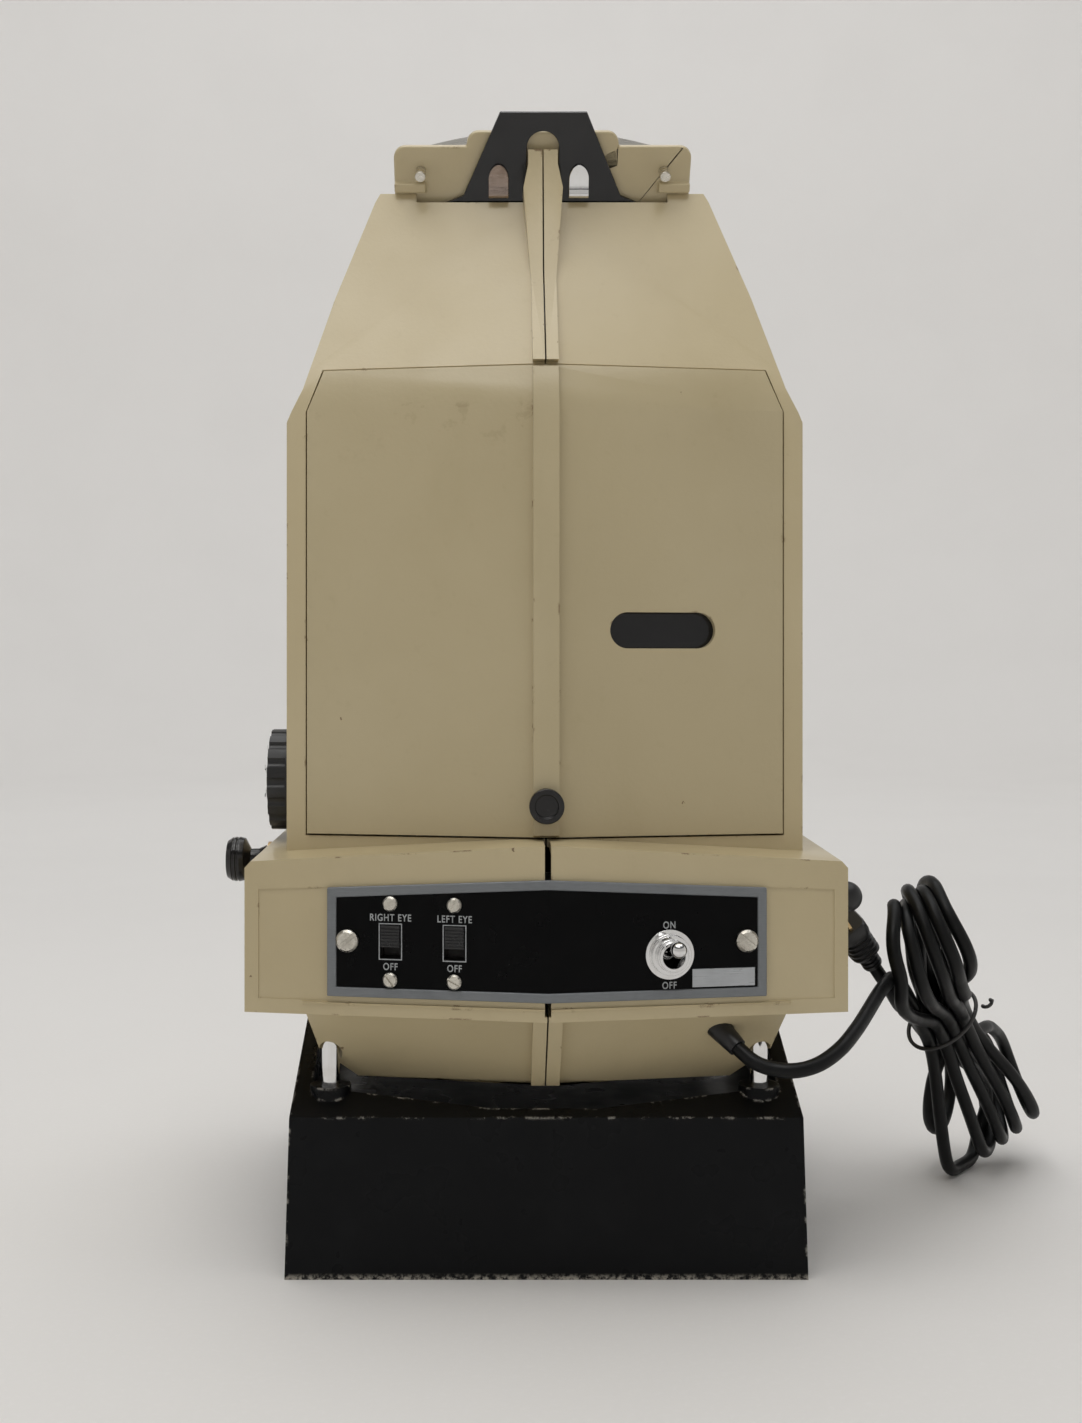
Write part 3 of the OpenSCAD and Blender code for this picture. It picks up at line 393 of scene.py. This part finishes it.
class Paint:
    """A Principled material with a few nodes behind its colour, roughness and bump."""

    def __init__(self, name, color, roughness, metallic=0.0, **sockets):
        self.material = bpy.data.materials.new(name)
        self.material.use_nodes = True
        self.tree = self.material.node_tree
        self.shader = self.tree.nodes["Principled BSDF"]
        self.shader.inputs["Base Color"].default_value = (*color, 1)
        self.shader.inputs["Roughness"].default_value = roughness
        self.shader.inputs["Metallic"].default_value = metallic
        for key, value in sockets.items():
            self.shader.inputs[key.replace("_", " ")].default_value = value
        self.place = self.tree.nodes.new("ShaderNodeTexCoord").outputs["Object"]
        self.color = None
        self.normal = None

    def node(self, kind, settings=None, **inputs):
        made = self.tree.nodes.new("ShaderNode" + kind)
        for key, value in (settings or {}).items():
            setattr(made, key, value)
        for key, value in inputs.items():
            socket = made.inputs[key.replace("_", " ")]
            if isinstance(value, bpy.types.NodeSocket):
                self.tree.links.new(value, socket)
            else:
                socket.default_value = value
        return made

    def noise(self, scale, detail=3.0, rough=0.55, stretch=None, distortion=0.0):
        place = self.place
        if stretch is not None:
            place = self.node("Mapping", Vector=self.place, Scale=stretch).outputs[0]
        made = self.node("TexNoise", Vector=place, Scale=scale, Detail=detail, Roughness=rough,
                         Distortion=distortion)
        return made.outputs["Fac"]

    def between(self, value, low, high, to_low=0.0, to_high=1.0):
        """A value spread from low..high to to_low..to_high, held at its ends."""
        made = self.tree.nodes.new("ShaderNodeMapRange")
        made.interpolation_type = "SMOOTHSTEP"
        self.tree.links.new(value, made.inputs["Value"])
        for key, number in (("From Min", low), ("From Max", high), ("To Min", to_low), ("To Max", to_high)):
            made.inputs[key].default_value = number
        return made.outputs["Result"]

    def math(self, operation, a, b):
        made = self.tree.nodes.new("ShaderNodeMath")
        made.operation = operation
        for socket, value in zip(made.inputs, (a, b)):
            if isinstance(value, bpy.types.NodeSocket):
                self.tree.links.new(value, socket)
            else:
                socket.default_value = value
        return made.outputs[0]

    def over(self, mask, color):
        """Lays a colour over what is there, where the mask is 1."""
        made = self.tree.nodes.new("ShaderNodeMix")
        made.data_type = "RGBA"
        made.clamp_factor = True
        self.tree.links.new(mask, made.inputs[0])
        if self.color is None:
            made.inputs[6].default_value = self.shader.inputs["Base Color"].default_value
        else:
            self.tree.links.new(self.color, made.inputs[6])
        made.inputs[7].default_value = (*color, 1)
        self.color = made.outputs[2]
        self.tree.links.new(self.color, self.shader.inputs["Base Color"])
        return self

    def vary(self, scale, color, low=0.4, high=0.7, amount=1.0, **more):
        return self.over(self.between(self.noise(scale, **more), low, high, 0, amount), color)

    def rough(self, value):
        self.tree.links.new(value, self.shader.inputs["Roughness"])
        return self

    def rough_noise(self, scale, low, high, **more):
        return self.rough(self.between(self.noise(scale, **more), 0.3, 0.7, low, high))

    def bump(self, height, strength, distance):
        made = self.tree.nodes.new("ShaderNodeBump")
        made.inputs["Strength"].default_value = strength
        made.inputs["Distance"].default_value = distance
        self.tree.links.new(height, made.inputs["Height"])
        if self.normal is not None:
            self.tree.links.new(self.normal, made.inputs["Normal"])
        self.normal = made.outputs["Normal"]
        self.tree.links.new(self.normal, self.shader.inputs["Normal"])
        return self

    def bump_noise(self, scale, strength, distance, **more):
        return self.bump(self.noise(scale, **more), strength, distance)

    def specks(self, scale, share, size, color):
        """Small chips: a share of the cells of a cell pattern hold one."""
        bent = self.node("VectorMath", {"operation": "ADD"})
        wobble = self.node("TexNoise", Vector=self.place, Scale=scale * 6)
        small = self.node("VectorMath", {"operation": "SCALE"})
        self.tree.links.new(wobble.outputs["Color"], small.inputs[0])
        small.inputs["Scale"].default_value = 0.35 / scale
        self.tree.links.new(self.place, bent.inputs[0])
        self.tree.links.new(small.outputs[0], bent.inputs[1])
        cell = self.tree.nodes.new("ShaderNodeTexVoronoi")
        self.tree.links.new(bent.outputs[0], cell.inputs["Vector"])
        cell.inputs["Scale"].default_value = scale
        chosen = self.between(self.node("SeparateColor", Color=cell.outputs["Color"]).outputs[0],
                              1 - share, 1 - share + 0.001)
        dot = self.between(cell.outputs["Distance"], size, size * 1.25, 1, 0)
        mask = self.math("MULTIPLY", chosen, dot)
        self.over(mask, color)
        return mask

    def edge_mask(self, radius, low, high):
        """1 along sharp outer edges, from a rounded normal against the true one."""
        soft = self.node("Bevel", {"samples": 6}, Radius=radius)
        plain = self.node("NewGeometry")
        dot = self.tree.nodes.new("ShaderNodeVectorMath")
        dot.operation = "DOT_PRODUCT"
        self.tree.links.new(soft.outputs[0], dot.inputs[0])
        self.tree.links.new(plain.outputs["True Normal"], dot.inputs[1])
        return self.between(dot.outputs["Value"], low, high, 1, 0)


def enamel(name, color, light, dark, rough):
    """Old semi-gloss enamel on cast metal: mottled, faintly rippled, chipped at its edges."""
    paint = Paint(name, color, rough, Coat_Weight=0.25, Coat_Roughness=0.18)
    paint.vary(9, light, 0.42, 0.72, 0.55, detail=4.0)
    paint.vary(14, dark, 0.5, 0.78, 0.5, detail=5.0, stretch=(1, 1, 0.45))
    paint.vary(160, dark, 0.6, 0.8, 0.25)
    edge = paint.edge_mask(0.0012, 0.955, 0.995)
    worn = paint.math("MULTIPLY", edge, paint.between(paint.noise(75, 6.0, 0.7), 0.58, 0.66))
    paint.over(worn, (0.20, 0.125, 0.06))
    chips = paint.specks(34, 0.06, 0.05, (0.16, 0.095, 0.05))
    fine = paint.specks(90, 0.03, 0.07, (0.22, 0.15, 0.08))
    paint.rough_noise(28, rough - 0.05, rough + 0.1)
    paint.bump_noise(22, 0.12, 0.004, detail=2.0)
    paint.bump_noise(520, 0.10, 0.0006, detail=2.0)
    paint.bump(paint.math("SUBTRACT", 1.0, paint.math("MAXIMUM", chips, fine)), 0.35, 0.0003)
    return paint.material


def gloss_black(name):
    paint = Paint(name, (0.0040, 0.0044, 0.0052), 0.30, Specular_IOR_Level=0.10, Coat_Weight=0.04,
                  Coat_Roughness=0.12)
    paint.vary(30, (0.008, 0.0085, 0.0095), 0.5, 0.8, 0.6)
    paint.specks(70, 0.05, 0.05, (0.10, 0.10, 0.10))
    edge = paint.edge_mask(0.0016, 0.94, 0.99)
    worn = paint.math("MULTIPLY", edge, paint.between(paint.noise(120, 6.0, 0.75), 0.53, 0.6))
    paint.over(worn, (0.42, 0.40, 0.36))
    low = paint.node("SeparateXYZ", Vector=paint.place).outputs["Z"]
    rub = paint.math("MULTIPLY", paint.between(low, 0.0003, 0.0028, 1, 0),
                     paint.between(paint.noise(420, 5.0, 0.7), 0.42, 0.60, 0, 0.8))
    paint.over(rub, (0.46, 0.43, 0.37))
    paint.rough_noise(40, 0.24, 0.42)
    paint.bump_noise(30, 0.10, 0.003)
    paint.bump_noise(600, 0.05, 0.0004)
    return paint.material


def metal(name, color, rough, stain, grain=(1, 1, 1), scale=300, spread=0.12):
    """Bare or plated metal with a grain and darker staining."""
    paint = Paint(name, color, rough, 1.0)
    paint.vary(60, stain, 0.5, 0.75, 0.6)
    paint.vary(scale * 2, stain, 0.5, 0.8, 0.35, stretch=grain)
    paint.rough_noise(scale, max(0.03, rough - spread), rough + spread, stretch=grain)
    paint.bump_noise(scale * 3, 0.12, 0.0002, stretch=grain)
    return paint.material


def moulded(name, color, rough, light, grain=900, bump=0.15, specular=0.5):
    """Moulded plastic or rubber: fine grain, dust in patches."""
    paint = Paint(name, color, rough, Specular_IOR_Level=specular)
    paint.vary(70, light, 0.5, 0.8, 0.5)
    paint.vary(700, light, 0.62, 0.8, 0.35)
    paint.rough_noise(90, rough - 0.08, rough + 0.1)
    paint.bump_noise(grain, bump, 0.0003)
    return paint.material


BEIGE = (0.545, 0.455, 0.275)
beige = enamel("beige_enamel", BEIGE, (0.60, 0.51, 0.325), (0.47, 0.385, 0.225), 0.36)
door_beige = enamel("door_enamel", (0.50, 0.42, 0.255), (0.555, 0.475, 0.305), (0.43, 0.355, 0.205), 0.34)
foot_black = gloss_black("foot_enamel")
satin_black = moulded("satin_black", (0.022, 0.022, 0.023), 0.45, (0.05, 0.05, 0.05))
panel_black = moulded("panel_black", (0.0018, 0.0019, 0.0022), 0.34, (0.004, 0.004, 0.0045), 500, 0.08, 0.08)
rim_grey = metal("rim_grey", (0.20, 0.213, 0.225), 0.5, (0.15, 0.16, 0.17), (1, 1, 12), 160)
rim_grey.node_tree.nodes["Principled BSDF"].inputs["Metallic"].default_value = 0.35
chrome = metal("chrome", (0.80, 0.80, 0.80), 0.10, (0.60, 0.58, 0.54), (1, 1, 0.05), 200, 0.06)
screw_steel = metal("screw_steel", (0.66, 0.63, 0.56), 0.30, (0.20, 0.17, 0.13), (1, 1, 1), 420, 0.12)
bronze = metal("bronze", (0.55, 0.38, 0.19), 0.42, (0.22, 0.14, 0.07))
zinc = metal("zinc", (0.50, 0.51, 0.52), 0.42, (0.33, 0.34, 0.35), (1, 6, 6), 120)
label_metal = metal("label_metal", (0.46, 0.48, 0.50), 0.38, (0.33, 0.34, 0.36), (0.3, 1, 14), 200)
label_metal.node_tree.nodes["Principled BSDF"].inputs["Metallic"].default_value = 0.6
band_metal = metal("band_metal", (0.62, 0.61, 0.58), 0.34, (0.45, 0.43, 0.40), (0.25, 1, 16), 140, 0.1)
nickel = metal("dull_nickel", (0.36, 0.29, 0.25), 0.36, (0.17, 0.12, 0.09), (1, 1, 8), 160)
brass = metal("pin_brass", (0.62, 0.46, 0.24), 0.32, (0.34, 0.22, 0.10), (1, 1, 3), 300)
near_black = moulded("near_black", (0.007, 0.007, 0.008), 0.17, (0.020, 0.020, 0.021), 300, 0.05)
phenolic = moulded("phenolic", (0.030, 0.026, 0.024), 0.5, (0.07, 0.06, 0.05))
slider_black = moulded("slider_black", (0.012, 0.012, 0.013), 0.32, (0.03, 0.03, 0.03), 800, 0.08)
cup_rubber = moulded("cup_rubber", (0.018, 0.018, 0.020), 0.55, (0.045, 0.045, 0.045), 700, 0.2, 0.3)
cord_rubber = moulded("cord_rubber", (0.0035, 0.0038, 0.004), 0.42, (0.010, 0.011, 0.012), 1100, 0.12, 0.22)
stop_rubber = moulded("stop_rubber", (0.012, 0.012, 0.013), 0.40, (0.03, 0.03, 0.03), 900, 0.15)
tie_dark = moulded("tie_dark", (0.030, 0.029, 0.028), 0.45, (0.08, 0.08, 0.08), 900, 0.2)
knob_black = moulded("knob_black", (0.010, 0.009, 0.009), 0.2, (0.022, 0.021, 0.020), 300, 0.05)
cream = moulded("terminal_cream", (0.62, 0.57, 0.45), 0.5, (0.50, 0.44, 0.33), 500, 0.2)
dial_black = moulded("dial_black", (0.014, 0.014, 0.015), 0.38, (0.035, 0.035, 0.035), 700, 0.15)
board = moulded("matt_board", (0.020, 0.020, 0.020), 0.85, (0.04, 0.04, 0.04), 600, 0.3)
film = moulded("slide_film", (0.70, 0.68, 0.60), 0.35, (0.55, 0.52, 0.45), 200, 0.05)


def felt():
    paint = Paint("worn_felt", (0.40, 0.36, 0.29), 0.95, Sheen_Weight=0.5, Sheen_Roughness=0.6)
    paint.vary(40, (0.22, 0.19, 0.15), 0.45, 0.7, 0.7)
    paint.vary(1500, (0.55, 0.50, 0.41), 0.5, 0.7, 0.7)
    paint.bump_noise(2200, 0.7, 0.0006)
    return paint.material


def glass(name, tint, rough):
    paint = Paint(name, tint, rough, Transmission_Weight=1.0, IOR=1.5, Coat_Weight=0.3)
    paint.vary(50, tuple(c * 0.93 for c in tint), 0.5, 0.8, 0.5)
    paint.bump_noise(300, 0.01, 0.0001)
    return paint.material


def silvered():
    paint = Paint("silvered", (0.88, 0.89, 0.88), 0.03, 1.0)
    paint.vary(30, (0.78, 0.77, 0.72), 0.6, 0.85, 0.6)
    paint.bump_noise(60, 0.02, 0.0002)
    return paint.material


def legend_ink():
    paint = Paint("legend_ink", (0.40, 0.42, 0.43), 0.5, 0.0)
    paint.vary(900, (0.27, 0.28, 0.29), 0.45, 0.7, 0.7)
    paint.bump_noise(1200, 0.1, 0.0001)
    return paint.material


felt_pad = felt()
lens_glass = glass("lens_glass", (0.93, 0.97, 0.96), 0.03)
lamp_glass = glass("lamp_glass", (0.92, 0.90, 0.82), 0.3)
mirror_silver = silvered()
ink = legend_ink()

NODE_LOOKS = {
    beige: ("housing_left", "housing_right", "face_plate"),
    door_beige: ("door",),
    foot_black: ("foot_casting",),
    satin_black: ("foot_bottom_plate", "slide_drum"),
    felt_pad: ("foot_pad",),
    chrome: ("column_front_left", "column_front_right", "column_back_left", "column_back_right",
             "drum_shaft", "toggle_bushing", "toggle_lever"),
    screw_steel: ("foot_screws", "housing_screws", "panel_screws", "switch_screws", "accessory_studs",
                  "hinge_pins"),
    bronze: ("column_bushes", "drum_bearing", "lock_bush"),
    zinc: ("chin_cover", "chassis_plate", "mirror_bracket", "door_arms", "lamp_holder"),
    rim_grey: ("panel_frame",),
    panel_black: ("panel_face",),
    label_metal: ("serial_plate",),
    phenolic: ("right_eye_switch", "left_eye_switch", "toggle_switch"),
    slider_black: ("right_eye_slider", "left_eye_slider"),
    cream: ("terminal_block",),
    band_metal: ("forehead_band",),
    cup_rubber: ("eyepiece_left", "eyepiece_right"),
    lens_glass: ("eye_lens_left", "eye_lens_right", "near_lenses"),
    near_black: ("near_lens_plate",),
    nickel: ("plate_spring_left",),
    mirror_silver: ("mirror",),
    board: ("septum",),
    film: ("test_slides",),
    dial_black: ("drum_dial",),
    lamp_glass: ("lamps",),
    knob_black: ("lock_knob", "door_knob"),
    stop_rubber: ("cord_stop", "cord_gland", "plug"),
    cord_rubber: ("cord", "cord_hank", "cord_tail"),
}
NODE_LOOKS[chrome] += ("plate_spring_right",)
for look, names in NODE_LOOKS.items():
    for name in names:
        mesh = nodes[name].data
        mesh.materials.clear()
        mesh.materials.append(look)
        mesh.polygons.foreach_set("material_index", [0] * len(mesh.polygons))


def soften(name, width, segments=3, angle=28):
    """Rounds a CAD node's edges as a casting or moulding has them."""
    piece = nodes[name]
    mesh = piece.data
    if mesh.has_custom_normals:
        with bpy.context.temp_override(object=piece, active_object=piece):
            bpy.ops.mesh.customdata_custom_splitnormals_clear()
    mesh.polygons.foreach_set("use_smooth", [True] * len(mesh.polygons))
    weld = piece.modifiers.new("weld", "WELD")
    weld.merge_threshold = 2e-5
    flat = piece.modifiers.new("flat", "DECIMATE")
    flat.decimate_type = "DISSOLVE"
    flat.angle_limit = math.radians(0.7)
    edge = piece.modifiers.new("edge", "BEVEL")
    edge.width = width * MM
    edge.segments = segments
    edge.limit_method = "ANGLE"
    edge.angle_limit = math.radians(angle)
    edge.harden_normals = True
    edge.use_clamp_overlap = True


EDGE_WIDTHS = {
    "housing_left": 1.4, "housing_right": 1.4, "door": 0.9, "foot_casting": 1.6, "face_plate": 0.8,
    "door_knob": 0.8, "lock_knob": 0.4, "panel_frame": 0.5, "panel_face": 0.2, "serial_plate": 0.12,
    "near_lens_plate": 0.35, "forehead_band": 0.4, "drum_dial": 0.6, "right_eye_slider": 0.12,
    "left_eye_slider": 0.12, "panel_screws": 0.3, "switch_screws": 0.2, "toggle_bushing": 0.2,
    "accessory_studs": 0.3, "foot_pad": 0.3, "foot_bottom_plate": 0.3, "terminal_block": 0.5,
    "chin_cover": 0.3, "chassis_plate": 0.3, "slide_drum": 0.5, "test_slides": 0.2, "door_arms": 0.4,
    "right_eye_switch": 0.3, "left_eye_switch": 0.3, "toggle_switch": 0.5, "lamp_holder": 0.3,
    "mirror_bracket": 0.2, "mirror": 0.15, "septum": 0.15,
}
for name, width in EDGE_WIDTHS.items():
    soften(name, width)

# ---- finishes of the cord's pieces -------------------------------------------


def finish(piece, body, slot, *looks):
    if looks:
        piece.data.materials.clear()
        for look in looks:
            piece.data.materials.append(look)
    if body:
        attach(piece, body)
    return piece


plug_body.data.materials.append(stop_rubber)
for pin in plug_pins:
    pin.data.materials.append(brass)
plug = join("mains_plug", [plug_body] + plug_pins)
edge_split(plug, 40)
finish(plug, "foot", "black_rubber")
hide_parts("plug")
finish(tie, "foot", "black_rubber", tie_dark)
finish(cord, None, "cord_rubber", cord_rubber)
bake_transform(cord)
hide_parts("cord", "cord_hank", "cord_tail")

# ---- head: spring clips that hold the near lens plate -------------------------


def strip(name, outline, width, matrix, thickness=0.9):
    """Bent sheet-metal strip: an outline in y and z, thickened, w wide in x."""
    line = spline([(0, y, z) for y, z in outline], 6)
    heads = np.gradient(line, axis=0)
    heads /= np.linalg.norm(heads, axis=1)[:, None]
    outwards = np.stack([np.zeros(len(line)), -heads[:, 2], heads[:, 1]], axis=1)
    along = np.linspace(0, 1, len(line))
    rings = []
    for p, n, a in zip(line, outwards, along):
        # the far end is rounded off
        half = width / 2 * math.sqrt(max(0.03, 1 - max(0, (a - 0.72) / 0.28) ** 2))
        ring = []
        for x, side in ((-half, -1), (half, -1), (half, 1), (-half, 1)):
            q = p + n * side * thickness / 2
            ring.append(mm(x, q[1], q[2]))
        rings.append(ring)
    made = loft(name, rings, matrix=matrix, smooth=False)
    edge = made.modifiers.new("edge", "BEVEL")
    edge.width = 0.25 * MM
    edge.segments = 2
    edge.angle_limit = math.radians(40)
    return made


CLIP = [(-3.0, 0.4), (-4.6, 0.2), (-5.2, 1.4), (-4.4, 2.8), (-3.4, 4.2), (-3.1, 7), (-3.2, 10), (-3.5, 13.2)]
for name, x, node, slot, look in (("spring_clip_left", -18, "plate_spring_left", "dull_nickel", nickel),
                                  ("spring_clip_right", 15, "plate_spring_right", "bright_chrome", chrome)):
    clip = strip(name, CLIP, 8.2, ON_HEAD @ Matrix.Translation(mm(x, 0, 0)))
    finish(clip, "housing", slot, look)
    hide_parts(node)

# ---- panel: legends, outlines and window pane ---------------------------------


def legend(name, words, matrix, height, condense=0.8, spacing=1.15):
    """Raised lettering, centred, standing on the panel."""
    curve = bpy.data.curves.new(name, "FONT")
    curve.body = words
    curve.align_x = "CENTER"
    curve.align_y = "CENTER"
    curve.size = height * MM / 0.7
    curve.space_character = spacing
    curve.extrude = 0.03 * MM
    curve.offset = 0.05 * MM
    holder = bpy.data.objects.new(name + "_curve", curve)
    scene.collection.objects.link(holder)
    bpy.context.view_layer.update()
    mesh = bpy.data.meshes.new_from_object(holder)
    bpy.data.objects.remove(holder)
    upright = Matrix.Rotation(math.radians(90), 4, "X") @ Matrix.Scale(condense, 4, (1, 0, 0))
    mesh.transform(matrix @ Matrix.Translation(mm(0, -1.54, 0)) @ upright)
    mesh.name = name
    return new_object(name, mesh)


LEGENDS = [
    ("legend_right_eye", "RIGHT EYE", -1, EYE_SWITCH_U[0], 139.6),
    ("legend_left_eye", "LEFT EYE", -1, EYE_SWITCH_U[1], 139.6),
    ("legend_right_off", "OFF", -1, EYE_SWITCH_U[0], 121.2),
    ("legend_left_off", "OFF", -1, EYE_SWITCH_U[1], 121.2),
    ("legend_on", "ON", 1, 46, 137.2),
    ("legend_off", "OFF", 1, 46, 114.6),
]
for name, words, side, u, z in LEGENDS:
    made = legend(name, words, on_face(side, SKIRT_FRONT, u, z), 2.6)
    finish(made, "housing", "blank_label", ink)


def outline(name, matrix, width, height, line):
    """Thin printed rectangle round a switch slot."""
    rings = []
    for inner, y in ((0, -1.5), (0, -1.55), (line, -1.55), (line, -1.5)):
        w, h = width / 2 - inner, height / 2 - inner
        rings.append([mm(x, y, z) for x, z in ((-w, -h), (w, -h), (w, h), (-w, h))])
    return loft(name, rings, closed_ends=False, matrix=matrix, smooth=False)


for name, u in (("slot_line_right", EYE_SWITCH_U[0]), ("slot_line_left", EYE_SWITCH_U[1])):
    made = outline(name, on_face(-1, SKIRT_FRONT, u, PANEL_MID_Z), 9.0, 13.8, 0.4)
    finish(made, "housing", "blank_label", ink)

# Smoked pane behind the door's window
WINDOW_U, WINDOW_Z, WINDOW_W, WINDOW_H = 46, 248, 42, 14
pane_rings = []
for y, grow in ((2.25, 1.5), (2.35, 2.0), (3.35, 2.0), (3.45, 1.5)):
    ring = []
    for k in range(40):
        a = 2 * math.pi * (k + 0.5) / 40
        x = math.copysign((WINDOW_W - WINDOW_H) / 2, math.cos(a))
        r = WINDOW_H / 2 + grow
        ring.append(mm(x + r * math.cos(a), y, r * math.sin(a)))
    pane_rings.append(ring)
pane = loft("window_pane", pane_rings, matrix=on_face(1, TOWER_FRONT, WINDOW_U, WINDOW_Z))
edge_split(pane)
smoked = moulded("smoked_pane", (0.006, 0.006, 0.007), 0.12, (0.012, 0.012, 0.012), 200, 0.03)
finish(pane, "door", "near_black", smoked)

# ---- numbers on the dial -------------------------------------------------------

numbers = []
for k in range(8):
    a = math.radians(k * 45 + 22.5)
    place = (Matrix.Translation(mm(-111.9, -42, 187)) @ Matrix.Rotation(a, 4, "X")
             @ Matrix.Translation(mm(0, 0, 13.2)) @ Matrix.Rotation(math.radians(-90), 4, "Z"))
    numbers.append(legend("dial_number", str(k + 1), place, 4.2, 0.9, 1.0))
dial_numbers = join("dial_numbers", numbers)
finish(dial_numbers, "drum", "blank_label", ink)

# ---- floor and light -------------------------------------------------------------

floor_paint = Paint("floor", (0.80, 0.785, 0.765), 0.75)
floor_paint.vary(3, (0.78, 0.765, 0.745), 0.4, 0.7, 0.6)
floor_paint.vary(400, (0.83, 0.815, 0.80), 0.5, 0.7, 0.3)
floor_paint.bump_noise(500, 0.05, 0.0003)
# flat for 2.6 m all round, then curving up into a low wall
FLAT_R = 2.6
CURVE_R = 1.4
WALL_TOP = 2.5
profile = [(0.002, 0), (0.6, 0), (FLAT_R, 0)]
for a in np.linspace(0.1, math.pi / 2, 12):
    profile.append((FLAT_R + CURVE_R * math.sin(a), CURVE_R - CURVE_R * math.cos(a)))
profile += [(FLAT_R + CURVE_R, WALL_TOP)]
SEGMENTS = 96
turns = [2 * math.pi * k / SEGMENTS for k in range(SEGMENTS)]
rings = [[Vector((r * math.cos(a), r * math.sin(a), z)) for a in turns] for r, z in profile]
floor = loft("floor", rings, closed_ends=False)
floor.data.materials.append(floor_paint.material)

scene.view_settings.view_transform = "Standard"
world = bpy.data.worlds.new("world")
scene.world = world
world.use_nodes = True
backdrop = world.node_tree.nodes["Background"]
backdrop.inputs["Color"].default_value = (0.93, 0.93, 0.92, 1)
backdrop.inputs["Strength"].default_value = 0.15


def softbox(name, place, target, size, power, tone=(1, 1, 1)):
    data = bpy.data.lights.new(name, "AREA")
    data.shape = "RECTANGLE"
    data.size, data.size_y = size
    data.energy = power
    data.color = tone
    lamp = bpy.data.objects.new(name, data)
    lamp.location = place
    lamp.rotation_euler = (Vector(target) - Vector(place)).to_track_quat("-Z", "Y").to_euler()
    scene.collection.objects.link(lamp)


softbox("overhead", (-0.15, -0.5, 1.35), (0, -0.05, 0.3), (0.9, 0.7), 5.0, (1, 0.985, 0.96))
softbox("high", (0, 0.8, 3.4), (0, 1.2, 0), (4.0, 3.0), 56)
# one light for each side of the wall round the floor
WALL_LIGHTS = (("wall_back", 0, 1.9), ("wall_front", 0, -1.9), ("wall_left", -1.9, 0), ("wall_right", 1.9, 0))
for name, x, y in WALL_LIGHTS:
    softbox(name, (x, y, 2.9), (2.1 * x, 2.1 * y, 0.9), (2.4, 0.8), 17)
